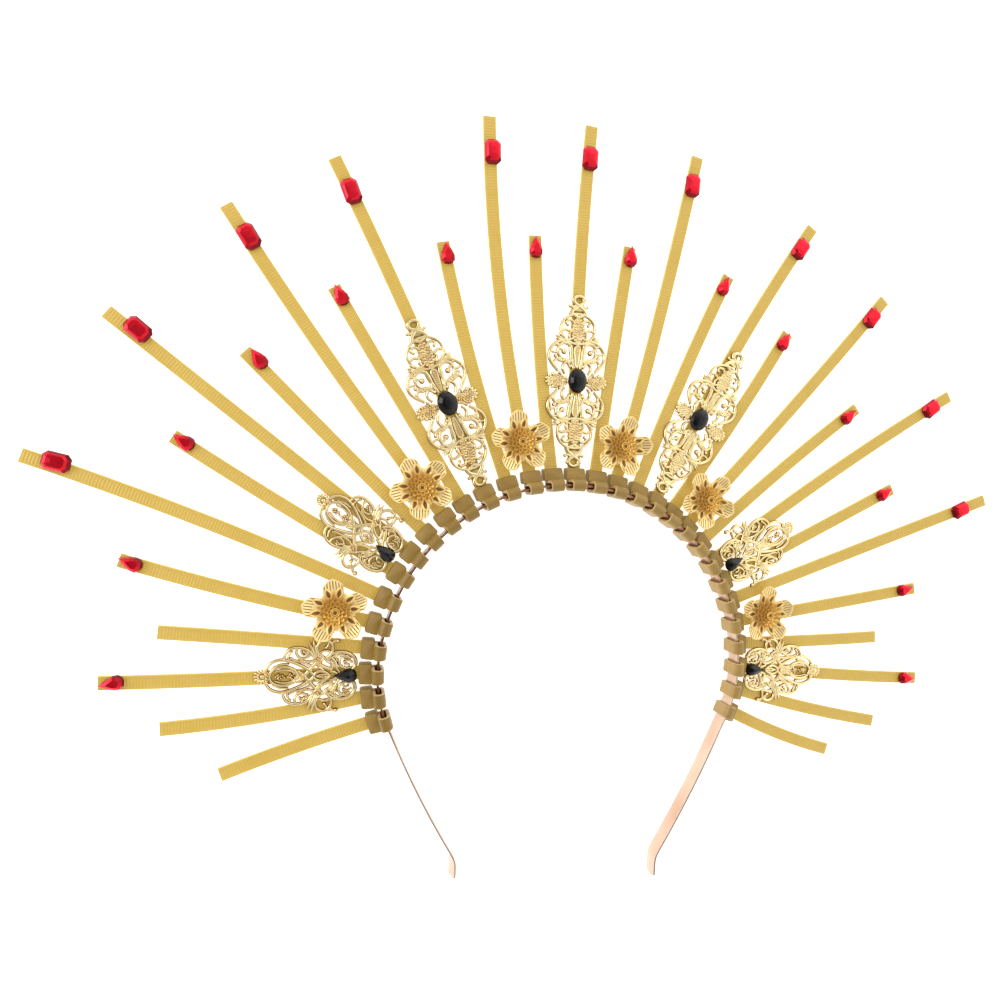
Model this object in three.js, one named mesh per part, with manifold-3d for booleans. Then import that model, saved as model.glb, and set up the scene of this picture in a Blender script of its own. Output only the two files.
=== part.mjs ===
// A halo crown on a flat metal headband. Thirty-one locking straps are looped round the band and stand
// out like rays. Stones, pierced plates and flowers are glued to the front of the straps.
//
// The crown lies on its back: +X is the wearer's left as seen from the front, +Y is the top of the crown
// and +Z its front. Everything is laid out round the centre of the band's arch, and the finished group
// is moved so that the origin lies under the middle of its bounding box, on the surface it rests on.

import * as THREE from 'three';
import { mergeVertices } from 'three/addons/utils/BufferGeometryUtils.js';
import Module from 'manifold-3d';

const wasm = await Module();
wasm.setup();

// ---------------------------------------------------------------- driving dimensions, millimetres

const BAND_RADIUS = 71.1;          // middle of the strip, from the centre of the arch
const BAND_THICKNESS = 0.7;
const BAND_WIDTH = 6.8;
const BAND_ARC_END = 108;          // degrees from the top to where the legs leave the arch
const BAND_ARC_STEPS = 41;         // odd, so that one face of the strip is square to +Y at the top
const PINCH_START = 88;            // degrees from the top to where the arch starts to close in
const PINCH = 2.15;                // how far it has closed in at its end
const LEG_STEPS = 5;
const LEG_BULGE = 1.0;             // how far a leg bows outwards between arch and knee
const LEFT_LEG = { kneeX: -39.7, kneeY: -69.3, tip: 6.9 };   // the leg bends into its tip at the knee
const RIGHT_LEG = { kneeX: 39.7, kneeY: -73.1, tip: 8.1 };

const STRAP_WIDTH = 4.8;
const STRAP_THICKNESS = 1.25;
const LOOP_INNER = -2.3;           // radial reach of the loop, from the middle of the band
const LOOP_OUTER = 2.2;
const LOOP_BACK = 3.0;             // height of the loop's back and front above the resting plane
const LOOP_FRONT = 13.6;
const LOOP_CORNER = 2.0;           // chamfers between the loop's back and its inner side
const LOOP_INNER_CORNER = 0.6;
const HEAD_OUTER = 6.5;
const HEAD_WIDTH = 7.3;
const HEAD_INNER = 1.8;
const HEAD_FRONT_INNER = 8.7;      // height of the slanting front face at its inner and outer ends
const HEAD_FRONT_OUTER = 7.2;
const HEAD_TAPER_END = 3.4;        // the head narrows towards its back below this height
const HEAD_TAPER = 1.2;
const HEAD_CHAMFER = 0.8;

const SEAT_GAP = 0.3;              // glue line left between a strap and what is stuck on it
const FIT_GAP = 0.3;               // clearance left between the loop and the band's edges
const PLATE_THICKNESS = 0.9;

const OBLONG_STONE = { width: 6.2, length: 8.9, height: 3.0, corner: 1.5 };
const RED_PEAR = { width: 5.1, length: 8.4, height: 2.6 };
const BLACK_PEAR = { width: 5.6, length: 9.2, height: 2.8 };
const OVAL_STONE = { width: 6.2, length: 8.4, height: 2.8 };
const FLOWER = { radius: 11.7, waist: 6.4, centre: 4.8, height: 5.8, wall: 0.8, lift: 3.0 };

// heights above the resting plane
const STRAP_MIDDLE = 4.25;
const STRAP_FRONT = STRAP_MIDDLE + STRAP_THICKNESS / 2;
const BAND_BACK = LOOP_BACK + STRAP_THICKNESS + FIT_GAP;
const PLATE_BACK = STRAP_FRONT + SEAT_GAP;
const PLATE_FRONT = PLATE_BACK + PLATE_THICKNESS;

// One row per tie, from the left end of the crown to the right. at: place on the arch, degrees from the
// top. lean: turn of the tie from straight out, degrees. strap: length from the head to the cut end.
// bow: sideways bend of the strap at its middle. stone: what is stuck on near the end, with its distance
// from the end, offset to the side and turn.
const TIES = [
  { at: -104.2, lean: -4.5, strap: 52.4, bow: 0.6 },
  { at: -97.2, lean: -1.0, strap: 67.5, bow: -1.1 },
  { at: -90.3, lean: -1.5, strap: 85.5, bow: -0.5, stone: 'pear', inset: 4.2, side: 0.0, turn: -11 },
  { at: -83.4, lean: -2.2, strap: 68.3, bow: 0.2 },
  { at: -76.4, lean: 0.0, strap: 85.0, bow: -1.0, stone: 'pear', inset: 3.7, side: 0.3, turn: 7 },
  { at: -68.9, lean: -0.4, strap: 123.8, bow: 1.8, stone: 'oblong', inset: 10.6, side: 1.7, turn: -6 },
  { at: -61.4, lean: 1.5, strap: 86.5, bow: -0.6, stone: 'pear', inset: 3.7, side: 0.6, turn: 0 },
  { at: -54.6, lean: 1.2, strap: 126.4, bow: 0.1, stone: 'oblong', inset: 11.1, side: 1.8, turn: 2 },
  { at: -47.8, lean: 0.7, strap: 86.9, bow: -0.2, stone: 'pear', inset: 4.8, side: 1.6, turn: 10 },
  { at: -41.0, lean: 3.3, strap: 128.2, bow: -1.4, stone: 'oblong', inset: 12.8, side: 0.6, turn: 2 },
  { at: -34.4, lean: 0.6, strap: 87.2, bow: -0.2, stone: 'pear', inset: 3.4, side: 0.4, turn: 2 },
  { at: -27.6, lean: 0.3, strap: 126.7, bow: 1.2, stone: 'oblong', inset: 12.8, side: 0.0, turn: 6 },
  { at: -20.5, lean: 2.3, strap: 88.7, bow: -1.4, stone: 'pear', inset: 4.3, side: 0.8, turn: 5 },
  { at: -13.4, lean: 3.7, strap: 130.9, bow: -3.6, stone: 'oblong', inset: 13.1, side: 0.8, turn: 1 },
  { at: -6.7, lean: -0.5, strap: 87.3, bow: -1.1, stone: 'pear', inset: 4.4, side: 0.0, turn: 2 },
  { at: 0.0, lean: 0.0, strap: 129.8, bow: -1.6, stone: 'oblong', inset: 12.6, side: 0.3, turn: -1 },
  { at: 6.8, lean: -0.9, strap: 87.4, bow: -0.2, stone: 'pear', inset: 3.7, side: 0.7, turn: -4 },
  { at: 13.6, lean: -1.9, strap: 129.7, bow: 1.0, stone: 'oblong', inset: 11.8, side: 0.2, turn: -7 },
  { at: 20.4, lean: 1.2, strap: 91.4, bow: -1.1, stone: 'pear', inset: 4.6, side: -0.2, turn: -1 },
  { at: 27.2, lean: 1.6, strap: 128.6, bow: -2.3, stone: 'oblong', inset: 11.0, side: 0.4, turn: 0 },
  { at: 33.7, lean: -1.4, strap: 86.3, bow: 1.0, stone: 'pear', inset: 3.9, side: 0.1, turn: 1 },
  { at: 40.2, lean: 0.8, strap: 128.4, bow: 0.9, stone: 'oblong', inset: 10.6, side: 0.3, turn: -3 },
  { at: 47.2, lean: 2.4, strap: 87.8, bow: -1.0, stone: 'pear', inset: 5.6, side: 0.1, turn: -5 },
  { at: 54.4, lean: 1.3, strap: 129.6, bow: -1.7, stone: 'oblong', inset: 11.5, side: 0.1, turn: -5 },
  { at: 61.5, lean: 1.0, strap: 85.4, bow: 0.1, stone: 'pear', inset: 4.8, side: -0.3, turn: -6 },
  { at: 68.4, lean: 1.0, strap: 128.6, bow: -0.1, stone: 'oblong', inset: 14.1, side: -0.1, turn: -5 },
  { at: 75.2, lean: 4.9, strap: 84.6, bow: 0.1, stone: 'pear', inset: 5.3, side: -0.5, turn: -6 },
  { at: 82.2, lean: 5.4, strap: 63.2, bow: 0.3 },
  { at: 89.3, lean: 4.7, strap: 84.6, bow: 0.9, stone: 'pear', inset: 5.1, side: 0.0, turn: 1 },
  { at: 96.5, lean: 6.1, strap: 66.3, bow: 1.0 },
  { at: 103.5, lean: 7.0, strap: 48.2, bow: 1.2 },
];

// Plates and flowers. x and y: middle of a lozenge or flower, or foot of a fan, from the centre of the
// arch. turn: degrees clockwise from +Y. shift: how far the stone sits beside the middle of its plate.
const LOZENGES = [
  { name: 'left', x: -50.3, y: 98.4, turn: -26.5, shift: 0.0 },
  { name: 'centre', x: -1.2, y: 110.6, turn: -1.0, shift: 0.0 },
  { name: 'right', x: 51.6, y: 98.8, turn: 29.0, shift: -1.4 },
];
const FANS = [
  { name: 'low_left', x: -78.4, y: -1.2, turn: -90.4 },
  { name: 'high_left', x: -67.3, y: 41.0, turn: -51.5 },
  { name: 'high_right', x: 66.5, y: 41.0, turn: 58.4 },
  { name: 'low_right', x: 78.0, y: -0.6, turn: 91.5 },
];
const FLOWERS = [
  { name: '1', x: -86.8, y: 21.9, turn: -7 },
  { name: '2', x: -58.3, y: 67.4, turn: -34 },
  { name: '3', x: -21.9, y: 86.3, turn: -11 },
  { name: '4', x: 18.8, y: 87.0, turn: 13 },
  { name: '5', x: 56.2, y: 67.9, turn: -31 },
  { name: '6', x: 85.6, y: 22.2, turn: -1 },
];

// Upper right quarter of the lozenge's edge, from its end towards its widest place.
// along: from the middle of the plate. half: half its width there.
const LOZENGE_EDGE = [
  { along: 32.4, half: 1.6 },
  { along: 30.6, half: 2.9 },
  { along: 28.6, half: 3.0 },
  { along: 26.6, half: 2.0 },
  { along: 25.2, half: 4.6 },
  { along: 21.5, half: 7.2 },
  { along: 17.0, half: 7.2 },
  { along: 14.8, half: 8.6 },
  { along: 11.5, half: 10.8 },
  { along: 7.0, half: 10.8 },
  { along: 3.6, half: 8.4 },
  { along: 2.6, half: 11.9 },
];
// Openings of the same quarter. along and side: middle. long and wide: full size. turn: degrees.
const LOZENGE_HOLES = [
  { along: 21.6, side: 4.6, long: 4.6, wide: 2.4, turn: 20 },
  { along: 11.6, side: 6.9, long: 4.0, wide: 4.2, turn: 0 },
  { along: 5.8, side: 6.4, long: 3.0, wide: 3.4, turn: 30 },
];
const LOZENGE_SLOT = { along: 10.5, side: 1.8, long: 7.0, wide: 0.9, turn: 0 };

// Right half of the fan's edge, from its foot to its crest.
const FAN_EDGE = [
  { along: 0.4, half: 2.4 },
  { along: 0.0, half: 6.0 },
  { along: 2.6, half: 9.0 },
  { along: 7.0, half: 9.8 },
  { along: 11.4, half: 8.2 },
  { along: 12.6, half: 12.6 },
  { along: 15.6, half: 12.8 },
  { along: 17.4, half: 9.4 },
  { along: 21.4, half: 9.8 },
  { along: 24.4, half: 7.2 },
  { along: 28.6, half: 6.2 },
  { along: 31.8, half: 3.0 },
  { along: 35.4, half: 2.6 },
];
const FAN_HOLES = [
  { along: 5.0, side: 6.6, long: 5.0, wide: 3.6, turn: 0 },
  { along: 12.4, side: 5.0, long: 4.4, wide: 3.0, turn: 20 },
  { along: 19.4, side: 6.9, long: 4.6, wide: 3.0, turn: 0 },
  { along: 26.6, side: 3.5, long: 6.6, wide: 2.0, turn: 10 },
];

// ---------------------------------------------------------------- colours and finishes

const FINISH = {
  band: { color: 0xe8b48c, roughness: 0.22, metalness: 1.0 },
  tie: { color: 0xc9a642, roughness: 0.45, metalness: 0.15 },
  plate: { color: 0xe9c766, roughness: 0.25, metalness: 1.0 },
  flower: { color: 0xdfb04a, roughness: 0.28, metalness: 1.0 },
  redStone: { color: 0xc4101f, roughness: 0.08, metalness: 0.0 },
  blackStone: { color: 0x101014, roughness: 0.08, metalness: 0.0 },
};

const crown = new THREE.Group();

function addMesh(name, geometry, finish) {
  const mesh = new THREE.Mesh(geometry, new THREE.MeshStandardMaterial(FINISH[finish]));
  mesh.name = name;
  crown.add(mesh);
  return mesh;
}

// ---------------------------------------------------------------- solids and booleans

function toSolid(geometry) {
  const plain = geometry.clone();
  plain.deleteAttribute('normal');
  plain.deleteAttribute('uv');
  const merged = mergeVertices(plain, 1e-4);
  return new wasm.Manifold(new wasm.Mesh({
    numProp: 3,
    vertProperties: new Float32Array(merged.attributes.position.array),
    triVerts: new Uint32Array(merged.index.array),
  }));
}

function toGeometry(solid) {
  const mesh = solid.getMesh();
  const geometry = new THREE.BufferGeometry();
  geometry.setAttribute('position', new THREE.BufferAttribute(mesh.vertProperties, 3));
  geometry.setIndex(new THREE.BufferAttribute(mesh.triVerts, 1));
  return geometry;
}

// A flat outline in X and Y, made into a plate between two heights.
function plateBetween(points, bottom, top, holes = []) {
  const shape = new THREE.Shape(THREE.ShapeUtils.isClockWise(points) ? [...points].reverse() : points);
  shape.holes = holes.map((hole) => new THREE.Path(hole));
  const geometry = new THREE.ExtrudeGeometry(shape, { depth: top - bottom, bevelEnabled: false });
  return geometry.translate(0, 0, bottom);
}

// A ring of points in X and Y at one height, for layered solids.
function ringAt(points, height) {
  return points.map((point) => new THREE.Vector3(point.x, point.y, height));
}

// A closed solid through rings of equal count, each ring counter-clockwise seen from +Z, bottom first.
function stackRings(rings) {
  const count = rings[0].length;
  const positions = [];
  const triangle = (a, b, c) => positions.push(...a.toArray(), ...b.toArray(), ...c.toArray());
  for (let level = 0; level + 1 < rings.length; level += 1) {
    for (let i = 0; i < count; i += 1) {
      const next = (i + 1) % count;
      triangle(rings[level][i], rings[level][next], rings[level + 1][next]);
      triangle(rings[level][i], rings[level + 1][next], rings[level + 1][i]);
    }
  }
  const bottom = rings[0];
  const top = rings[rings.length - 1];
  for (let i = 1; i + 1 < count; i += 1) {
    triangle(bottom[0], bottom[i + 1], bottom[i]);
    triangle(top[0], top[i], top[i + 1]);
  }
  const geometry = new THREE.BufferGeometry();
  geometry.setAttribute('position', new THREE.Float32BufferAttribute(positions, 3));
  return mergeVertices(geometry, 1e-4);
}

// Turn clockwise from +Y by the given degrees, then move.
function place(geometry, x, y, turn) {
  return geometry.rotateZ(-THREE.MathUtils.degToRad(turn)).translate(x, y, 0);
}

// ---------------------------------------------------------------- headband

// Distance from the centre of the arch to the middle of the strip.
function bandRadius(degrees) {
  const past = Math.max(Math.abs(degrees) - PINCH_START, 0) / (BAND_ARC_END - PINCH_START);
  return BAND_RADIUS - PINCH * past * past;
}

function bandPoint(degrees) {
  const angle = THREE.MathUtils.degToRad(degrees);
  const radius = bandRadius(degrees);
  return new THREE.Vector2(radius * Math.sin(angle), radius * Math.cos(angle));
}

// Middle line of one leg, from just below the arch to the end of the tip.
function legLine(side, leg) {
  const hip = bandPoint(side * BAND_ARC_END);
  const knee = new THREE.Vector2(leg.kneeX, leg.kneeY);
  const along = knee.clone().sub(hip);
  const outward = new THREE.Vector2(-along.y * side, along.x * side).normalize();
  const line = [];
  for (let i = 1; i <= LEG_STEPS; i += 1) {
    const s = i / LEG_STEPS;
    line.push(hip.clone().addScaledVector(along, s).addScaledVector(outward, LEG_BULGE * 4 * s * (1 - s)));
  }
  line.push(new THREE.Vector2(leg.kneeX, leg.kneeY - leg.tip));
  return line;
}

// Middle line of the whole strip, from the left tip over the top to the right tip.
function bandLine() {
  const arch = [];
  for (let i = 0; i <= BAND_ARC_STEPS; i += 1) {
    arch.push(bandPoint(BAND_ARC_END * ((2 * i) / BAND_ARC_STEPS - 1)));
  }
  return [...legLine(-1, LEFT_LEG).reverse(), ...arch, ...legLine(1, RIGHT_LEG)];
}

// The line moved sideways by an offset, kept parallel at every corner.
function offsetLine(line, offset) {
  return line.map((point, i) => {
    const before = line[Math.max(i - 1, 0)];
    const after = line[Math.min(i + 1, line.length - 1)];
    const into = point.clone().sub(before);
    const out = after.clone().sub(point);
    const first = into.lengthSq() > 0 ? into.normalize() : out.clone().normalize();
    const second = out.lengthSq() > 0 ? out.normalize() : first.clone();
    const middle = first.clone().add(second).normalize();
    const stretch = 1 / middle.dot(first);
    return new THREE.Vector2(point.x - middle.y * offset * stretch, point.y + middle.x * offset * stretch);
  });
}

function headband() {
  const line = bandLine();
  const outer = offsetLine(line, BAND_THICKNESS / 2);
  const inner = offsetLine(line, -BAND_THICKNESS / 2);
  return plateBetween([...outer, ...inner.reverse()], BAND_BACK, BAND_BACK + BAND_WIDTH);
}

// ---------------------------------------------------------------- stones

// Point of a drop-shaped outline: round at the foot, tapering to a point at +Y. The middle is the origin.
function pearOutline(width, length, count) {
  const points = [];
  for (let i = 0; i < count; i += 1) {
    const angle = (2 * Math.PI * i) / count + Math.PI / 2;
    const taper = 0.5 * (1 - Math.sin(angle)) ** 0.75 / 2 ** 0.75 * 1.45;
    points.push(new THREE.Vector2(width * Math.cos(angle) * taper, (length / 2) * Math.sin(angle)));
  }
  const widest = Math.max(...points.map((point) => point.x));
  return points.map((point) => new THREE.Vector2((point.x * width) / 2 / widest, point.y));
}

function ellipseOutline(width, length, count) {
  return new THREE.EllipseCurve(0, 0, width / 2, length / 2).getPoints(count).slice(0, count);
}

function oblongOutline({ width, length, corner }) {
  const x = width / 2;
  const y = length / 2;
  const corners = [[x, y - corner], [x - corner, y], [corner - x, y], [-x, y - corner]];
  const lower = [[-x, corner - y], [corner - x, -y], [x - corner, -y], [x, corner - y]];
  return [...corners, ...lower].map(([px, py]) => new THREE.Vector2(px, py));
}

// A cut stone: a straight girdle, then a crown that closes in to a flat table.
function cutStone(outline, bottom, height) {
  const girdle = bottom + height * 0.35;
  const scaled = (factor) => outline.map((point) => point.clone().multiplyScalar(factor));
  return stackRings([ringAt(outline, bottom), ringAt(outline, girdle), ringAt(scaled(0.55), bottom + height)]);
}

// ---------------------------------------------------------------- ties

// Side view of the loop, drawn with X out from the band and Y up from the resting plane.
function loopOutline(inset, steps) {
  const radius = (LOOP_OUTER - LOOP_INNER) / 2 - inset;
  const middle = (LOOP_OUTER + LOOP_INNER) / 2;
  const front = LOOP_FRONT - inset - radius;
  const back = LOOP_BACK + inset;
  const corner = inset > 0 ? LOOP_INNER_CORNER : LOOP_CORNER;
  const points = [];
  for (let i = 0; i <= steps; i += 1) {
    const angle = (Math.PI * i) / steps;
    points.push(new THREE.Vector2(middle + radius * Math.cos(angle), front + radius * Math.sin(angle)));
  }
  points.push(new THREE.Vector2(middle - radius, back + corner));
  points.push(new THREE.Vector2(middle - radius + corner, back));
  points.push(new THREE.Vector2(middle + radius, back));
  return points;
}

function loop() {
  const ring = plateBetween(loopOutline(0, 6), -STRAP_WIDTH / 2, STRAP_WIDTH / 2,
    [loopOutline(STRAP_THICKNESS, 4)]);
  // X out, Y up, Z across  ->  X across, Y out, Z up
  return ring.applyMatrix4(new THREE.Matrix4().set(0, 0, 1, 0, 1, 0, 0, 0, 0, 1, 0, 0, 0, 0, 0, 1));
}

// The locking head: a block that narrows towards its back and has a slanting front face.
function head() {
  const slope = (HEAD_FRONT_OUTER - HEAD_FRONT_INNER) / (HEAD_OUTER - HEAD_INNER);
  const ring = (half, heightAt) => [
    [-half, HEAD_INNER],
    [half, HEAD_INNER],
    [half, HEAD_OUTER - HEAD_CHAMFER],
    [half - HEAD_CHAMFER, HEAD_OUTER],
    [HEAD_CHAMFER - half, HEAD_OUTER],
    [-half, HEAD_OUTER - HEAD_CHAMFER],
  ].map(([x, y]) => new THREE.Vector3(x, y, heightAt(y)));
  const half = HEAD_WIDTH / 2;
  return stackRings([
    ring(half - HEAD_TAPER, () => 0),
    ring(half, () => HEAD_TAPER_END),
    ring(half, (y) => HEAD_FRONT_INNER + slope * (y - HEAD_INNER)),
  ]);
}

// Sideways place of the strap's middle line, s running from the head (0) to the cut end (1).
function bowAt(tie, s) {
  return tie.bow * 4 * s * (1 - s);
}

function strap(tie) {
  const steps = Math.abs(tie.bow) < 0.3 ? 2 : 6;
  const line = [new THREE.Vector2(0, LOOP_OUTER)];
  for (let i = 0; i <= steps; i += 1) {
    line.push(new THREE.Vector2(bowAt(tie, i / steps), HEAD_OUTER + (tie.strap * i) / steps));
  }
  const left = offsetLine(line, STRAP_WIDTH / 2);
  const right = offsetLine(line, -STRAP_WIDTH / 2);
  return plateBetween([...right, ...left.reverse()], STRAP_MIDDLE - STRAP_THICKNESS / 2, STRAP_FRONT);
}

// Where a stone sits in the tie's own frame: X across, Y out.
function stoneSeat(tie) {
  const s = 1 - tie.inset / tie.strap;
  const slope = (tie.bow * 4 * (1 - 2 * s)) / tie.strap;
  return {
    x: bowAt(tie, s) + tie.side,
    y: HEAD_OUTER + tie.strap * s,
    turn: tie.turn + THREE.MathUtils.radToDeg(Math.atan(slope)),
  };
}

function putOnBand(geometry, tie) {
  const foot = bandPoint(tie.at);
  return place(geometry, foot.x, foot.y, tie.at + tie.lean);
}

function addTie(tie, number) {
  let solid = toSolid(loop()).add(toSolid(head())).add(toSolid(strap(tie)));
  if (tie.stone === 'pear') {
    const seat = stoneSeat(tie);
    const stone = cutStone(pearOutline(RED_PEAR.width, RED_PEAR.length, 10), STRAP_MIDDLE,
      RED_PEAR.height + STRAP_THICKNESS / 2);
    solid = solid.add(toSolid(place(stone, seat.x, seat.y, seat.turn)));
  }
  addMesh(`tie_${number}`, putOnBand(toGeometry(solid), tie), 'tie');
  if (tie.stone === 'oblong') {
    const seat = stoneSeat(tie);
    const stone = cutStone(oblongOutline(OBLONG_STONE), PLATE_BACK, OBLONG_STONE.height);
    addMesh(`oblong_stone_${number}`, putOnBand(place(stone, seat.x, seat.y, seat.turn), tie), 'redStone');
  }
}

// ---------------------------------------------------------------- pierced plates

function holeOutline({ along, side, long, wide, turn }) {
  const curve = new THREE.EllipseCurve(side, along, wide / 2, long / 2, 0, 2 * Math.PI, false,
    -THREE.MathUtils.degToRad(turn));
  return curve.getPoints(6).slice(0, 6);
}

const mirrorX = (points) => points.map((point) => new THREE.Vector2(-point.x, point.y));
const mirrorY = (points) => points.map((point) => new THREE.Vector2(point.x, -point.y));

function lozengePlate() {
  const quarter = LOZENGE_EDGE.map(({ along, half }) => new THREE.Vector2(half, along));
  const right = [...quarter, ...mirrorY(quarter).reverse()];
  const edge = [...right, ...mirrorX(right).reverse()];
  const upperRight = [...LOZENGE_HOLES, LOZENGE_SLOT].map(holeOutline);
  const upper = [...upperRight, ...upperRight.map(mirrorX)];
  const holes = [...upper, ...upper.map(mirrorY)];
  return plateBetween(edge, PLATE_BACK, PLATE_FRONT, holes);
}

function fanPlate() {
  const right = FAN_EDGE.map(({ along, half }) => new THREE.Vector2(half, along));
  const edge = [...right, ...mirrorX(right).reverse()];
  const rightHoles = FAN_HOLES.map(holeOutline);
  return plateBetween(edge, PLATE_BACK, PLATE_FRONT, [...rightHoles, ...rightHoles.map(mirrorX)]);
}

function addLozenge(spot) {
  addMesh(`lozenge_plate_${spot.name}`, place(lozengePlate(), spot.x, spot.y, spot.turn), 'plate');
  const outline = ellipseOutline(OVAL_STONE.width, OVAL_STONE.length, 12);
  const stone = cutStone(outline, PLATE_FRONT + SEAT_GAP, OVAL_STONE.height);
  stone.translate(spot.shift, 0, 0);
  addMesh(`oval_stone_${spot.name}`, place(stone, spot.x, spot.y, spot.turn), 'blackStone');
}

function addFan(spot) {
  const outline = pearOutline(BLACK_PEAR.width, BLACK_PEAR.length, 10);
  const stone = cutStone(outline, PLATE_BACK + PLATE_THICKNESS / 2, BLACK_PEAR.height);
  stone.translate(0, BLACK_PEAR.length / 2 + SEAT_GAP, 0);
  const solid = toSolid(fanPlate()).add(toSolid(stone));
  addMesh(`fan_plate_${spot.name}`, place(toGeometry(solid), spot.x, spot.y, spot.turn), 'plate');
}

// ---------------------------------------------------------------- flowers

// Edge of the petals: five round lobes between a waist and the full radius.
function petalRadius(angle) {
  const lobe = Math.abs(Math.cos(2.5 * angle));
  return FLOWER.waist + (FLOWER.radius - FLOWER.waist) * lobe ** 0.6;
}

// A dished rosette: each ring is a share of the petal radius, lifted towards the rim, under a round middle.
function addFlower(spot) {
  const count = 30;
  const ring = (share, height) => {
    const points = [];
    for (let i = 0; i < count; i += 1) {
      const angle = (2 * Math.PI * i) / count;
      const radius = share > 0 ? petalRadius(angle) * share : FLOWER.centre;
      points.push(new THREE.Vector3(-radius * Math.sin(angle), radius * Math.cos(angle), height));
    }
    return points;
  };
  const base = PLATE_BACK;
  const rings = [
    ring(0.35, base),
    ring(0.7, base + FLOWER.lift * 0.4),
    ring(1.0, base + FLOWER.lift),
    ring(1.0, base + FLOWER.lift + FLOWER.wall),
    ring(0.72, base + FLOWER.lift * 0.4 + FLOWER.wall),
    ring(0, base + FLOWER.height),
  ];
  addMesh(`flower_${spot.name}`, place(stackRings(rings), spot.x, spot.y, spot.turn), 'flower');
}

// ---------------------------------------------------------------- assembly

addMesh('headband', headband(), 'band');
TIES.forEach((tie, i) => addTie(tie, String(i + 1).padStart(2, '0')));
LOZENGES.forEach(addLozenge);
FANS.forEach(addFan);
FLOWERS.forEach(addFlower);

const box = new THREE.Box3().setFromObject(crown);
const middle = box.getCenter(new THREE.Vector3());
crown.position.set(-middle.x, -middle.y, -box.min.z);

export default crown;
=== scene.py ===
import math

import bpy
import numpy as np
from mathutils import Matrix, Vector


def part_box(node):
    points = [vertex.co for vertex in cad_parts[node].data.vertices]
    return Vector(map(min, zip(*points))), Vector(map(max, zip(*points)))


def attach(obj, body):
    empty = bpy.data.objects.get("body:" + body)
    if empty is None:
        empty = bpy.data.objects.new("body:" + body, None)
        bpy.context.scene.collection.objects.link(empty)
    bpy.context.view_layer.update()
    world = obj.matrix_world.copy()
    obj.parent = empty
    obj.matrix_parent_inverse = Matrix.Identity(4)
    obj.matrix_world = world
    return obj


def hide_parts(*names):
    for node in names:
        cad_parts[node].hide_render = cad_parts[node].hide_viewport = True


bl_info = {
    "name": "Halo Crown Headband",
    "version": (1, 0, 0),
    "blender": (4, 5, 0),
    "location": "3D View > Sidebar > Crown",
    "description": "Builds a halo crown: straps locked round a band, with stones, scrollwork and flowers",
    "category": "Add Mesh",
}

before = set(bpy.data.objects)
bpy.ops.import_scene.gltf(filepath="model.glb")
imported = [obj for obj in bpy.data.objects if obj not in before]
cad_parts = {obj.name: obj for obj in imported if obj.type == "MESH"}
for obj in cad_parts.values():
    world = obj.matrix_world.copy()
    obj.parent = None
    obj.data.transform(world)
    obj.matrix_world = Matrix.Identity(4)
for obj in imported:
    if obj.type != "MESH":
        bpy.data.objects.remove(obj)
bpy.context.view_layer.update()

# Shapes are worked out in millimetres in the plane of the crown: X to its right, Y to its top, Z to its
# front, all from the centre of the band's arch. CENTRE is where that centre lies in the frame.
MM = 0.001
ARCH_OUTER = 71.375
band_low, band_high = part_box("headband")
CENTRE = np.array([(band_low.x + band_high.x) / 2, band_high.y - ARCH_OUTER * MM, 0.0])
BAND_MIDDLE = (band_low.z + band_high.z) / 2 / MM

# ------------------------------------------------------------------ sizes of the crown, millimetres

ARC_END = 108.0            # degrees from the top to where the legs leave the arch
PINCH_START = 88.0         # degrees from the top to where the arch starts to close in
PINCH = 2.15
LEG_BULGE = 1.0
# Where each leg bends straight down, left and right, and how long its straight tip is.
KNEES = {-1: {"x": -39.7, "y": -69.3, "tip": 6.9}, 1: {"x": 39.7, "y": -73.1, "tip": 8.1}}
TIP_ROUNDING = 1.6
BAND_CORNER = 0.14
ARCH_POINTS = 261
BAND_POINTS = 520
EASING = 5                 # points in the running mean that eases the band's corners
FACE_TONES = 0.8           # the tone above this is the greyer cut edge of the legs
TONE_TURN = 160.0          # degrees over which the painted shade on the strip fades from left to right
LEG_TONES = (100.0, 20.0)  # degrees from the top to where the legs' tones begin, and over which they come in
CUT_TONES = (0.9, 1.0)     # of the left and the right leg's cut edge
TIP_TWIST = 11.0           # degrees that the left tip is turned about its front edge
TWIST_START, TWIST_RUN = 2.0, 4.0      # from how far above the knee, and over what length, it turns

LOOP_RADIUS = 1.625        # middle of the strap where it curls over the band's front edge
LOOP_SHIFT = -0.05
LOOP_START, LOOP_TOP = 6.4, 11.35
LOOP_BACK = 3.625
LOOP_CORNER = 1.35
LOOP_END = 3.4             # how far out the curl has risen to the strap's own height
LOOP_FLARE = 0.42          # how much wider each side of the strap is where it leaves the head
FLARE_RUN = 9.0            # how far along the curl that is over
CURL_OVERLAP = 3           # last points of the curl that already look like the ray
STRAP_MIDDLE = 4.25
PLAIN_START = 4.2          # how far out the first rib can be
BACK_CORNER = 0.25         # cut off the corners of the strap's back
FRONT_CORNER_IN, FRONT_CORNER_DOWN = 0.15, 0.18
GROOVE_FLANK = 0.12
GROOVE_MIDDLE = 0.5
# One rib: shares of its pitch, and how deep the strap is sunk there.
RIB_PHASES = np.array([0.0, 0.3, 0.48, 0.82])
RIB_DEPTHS = np.array([0.0, 0.0, 1.0, 1.0])
HEAD_INNER, HEAD_OUTER = 1.8, 6.5
HEAD_WIDTH = 7.3
HEAD_FRONT_INNER, HEAD_FRONT_OUTER = 8.7, 7.2
HEAD_TAPER, HEAD_TAPER_END = 1.2, 3.4
HEAD_CORNER, HEAD_LEAST_CORNER = 0.75, 0.3

PLATE_BACK = 5.175
STONE_BACK = 5.0
OVAL_BACK = 6.3

def table(columns, *rows):
    """A table as a list of dicts. columns names a row's values in order, and a short row stops early."""
    return [dict(zip(columns.split(), row)) for row in rows]


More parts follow.
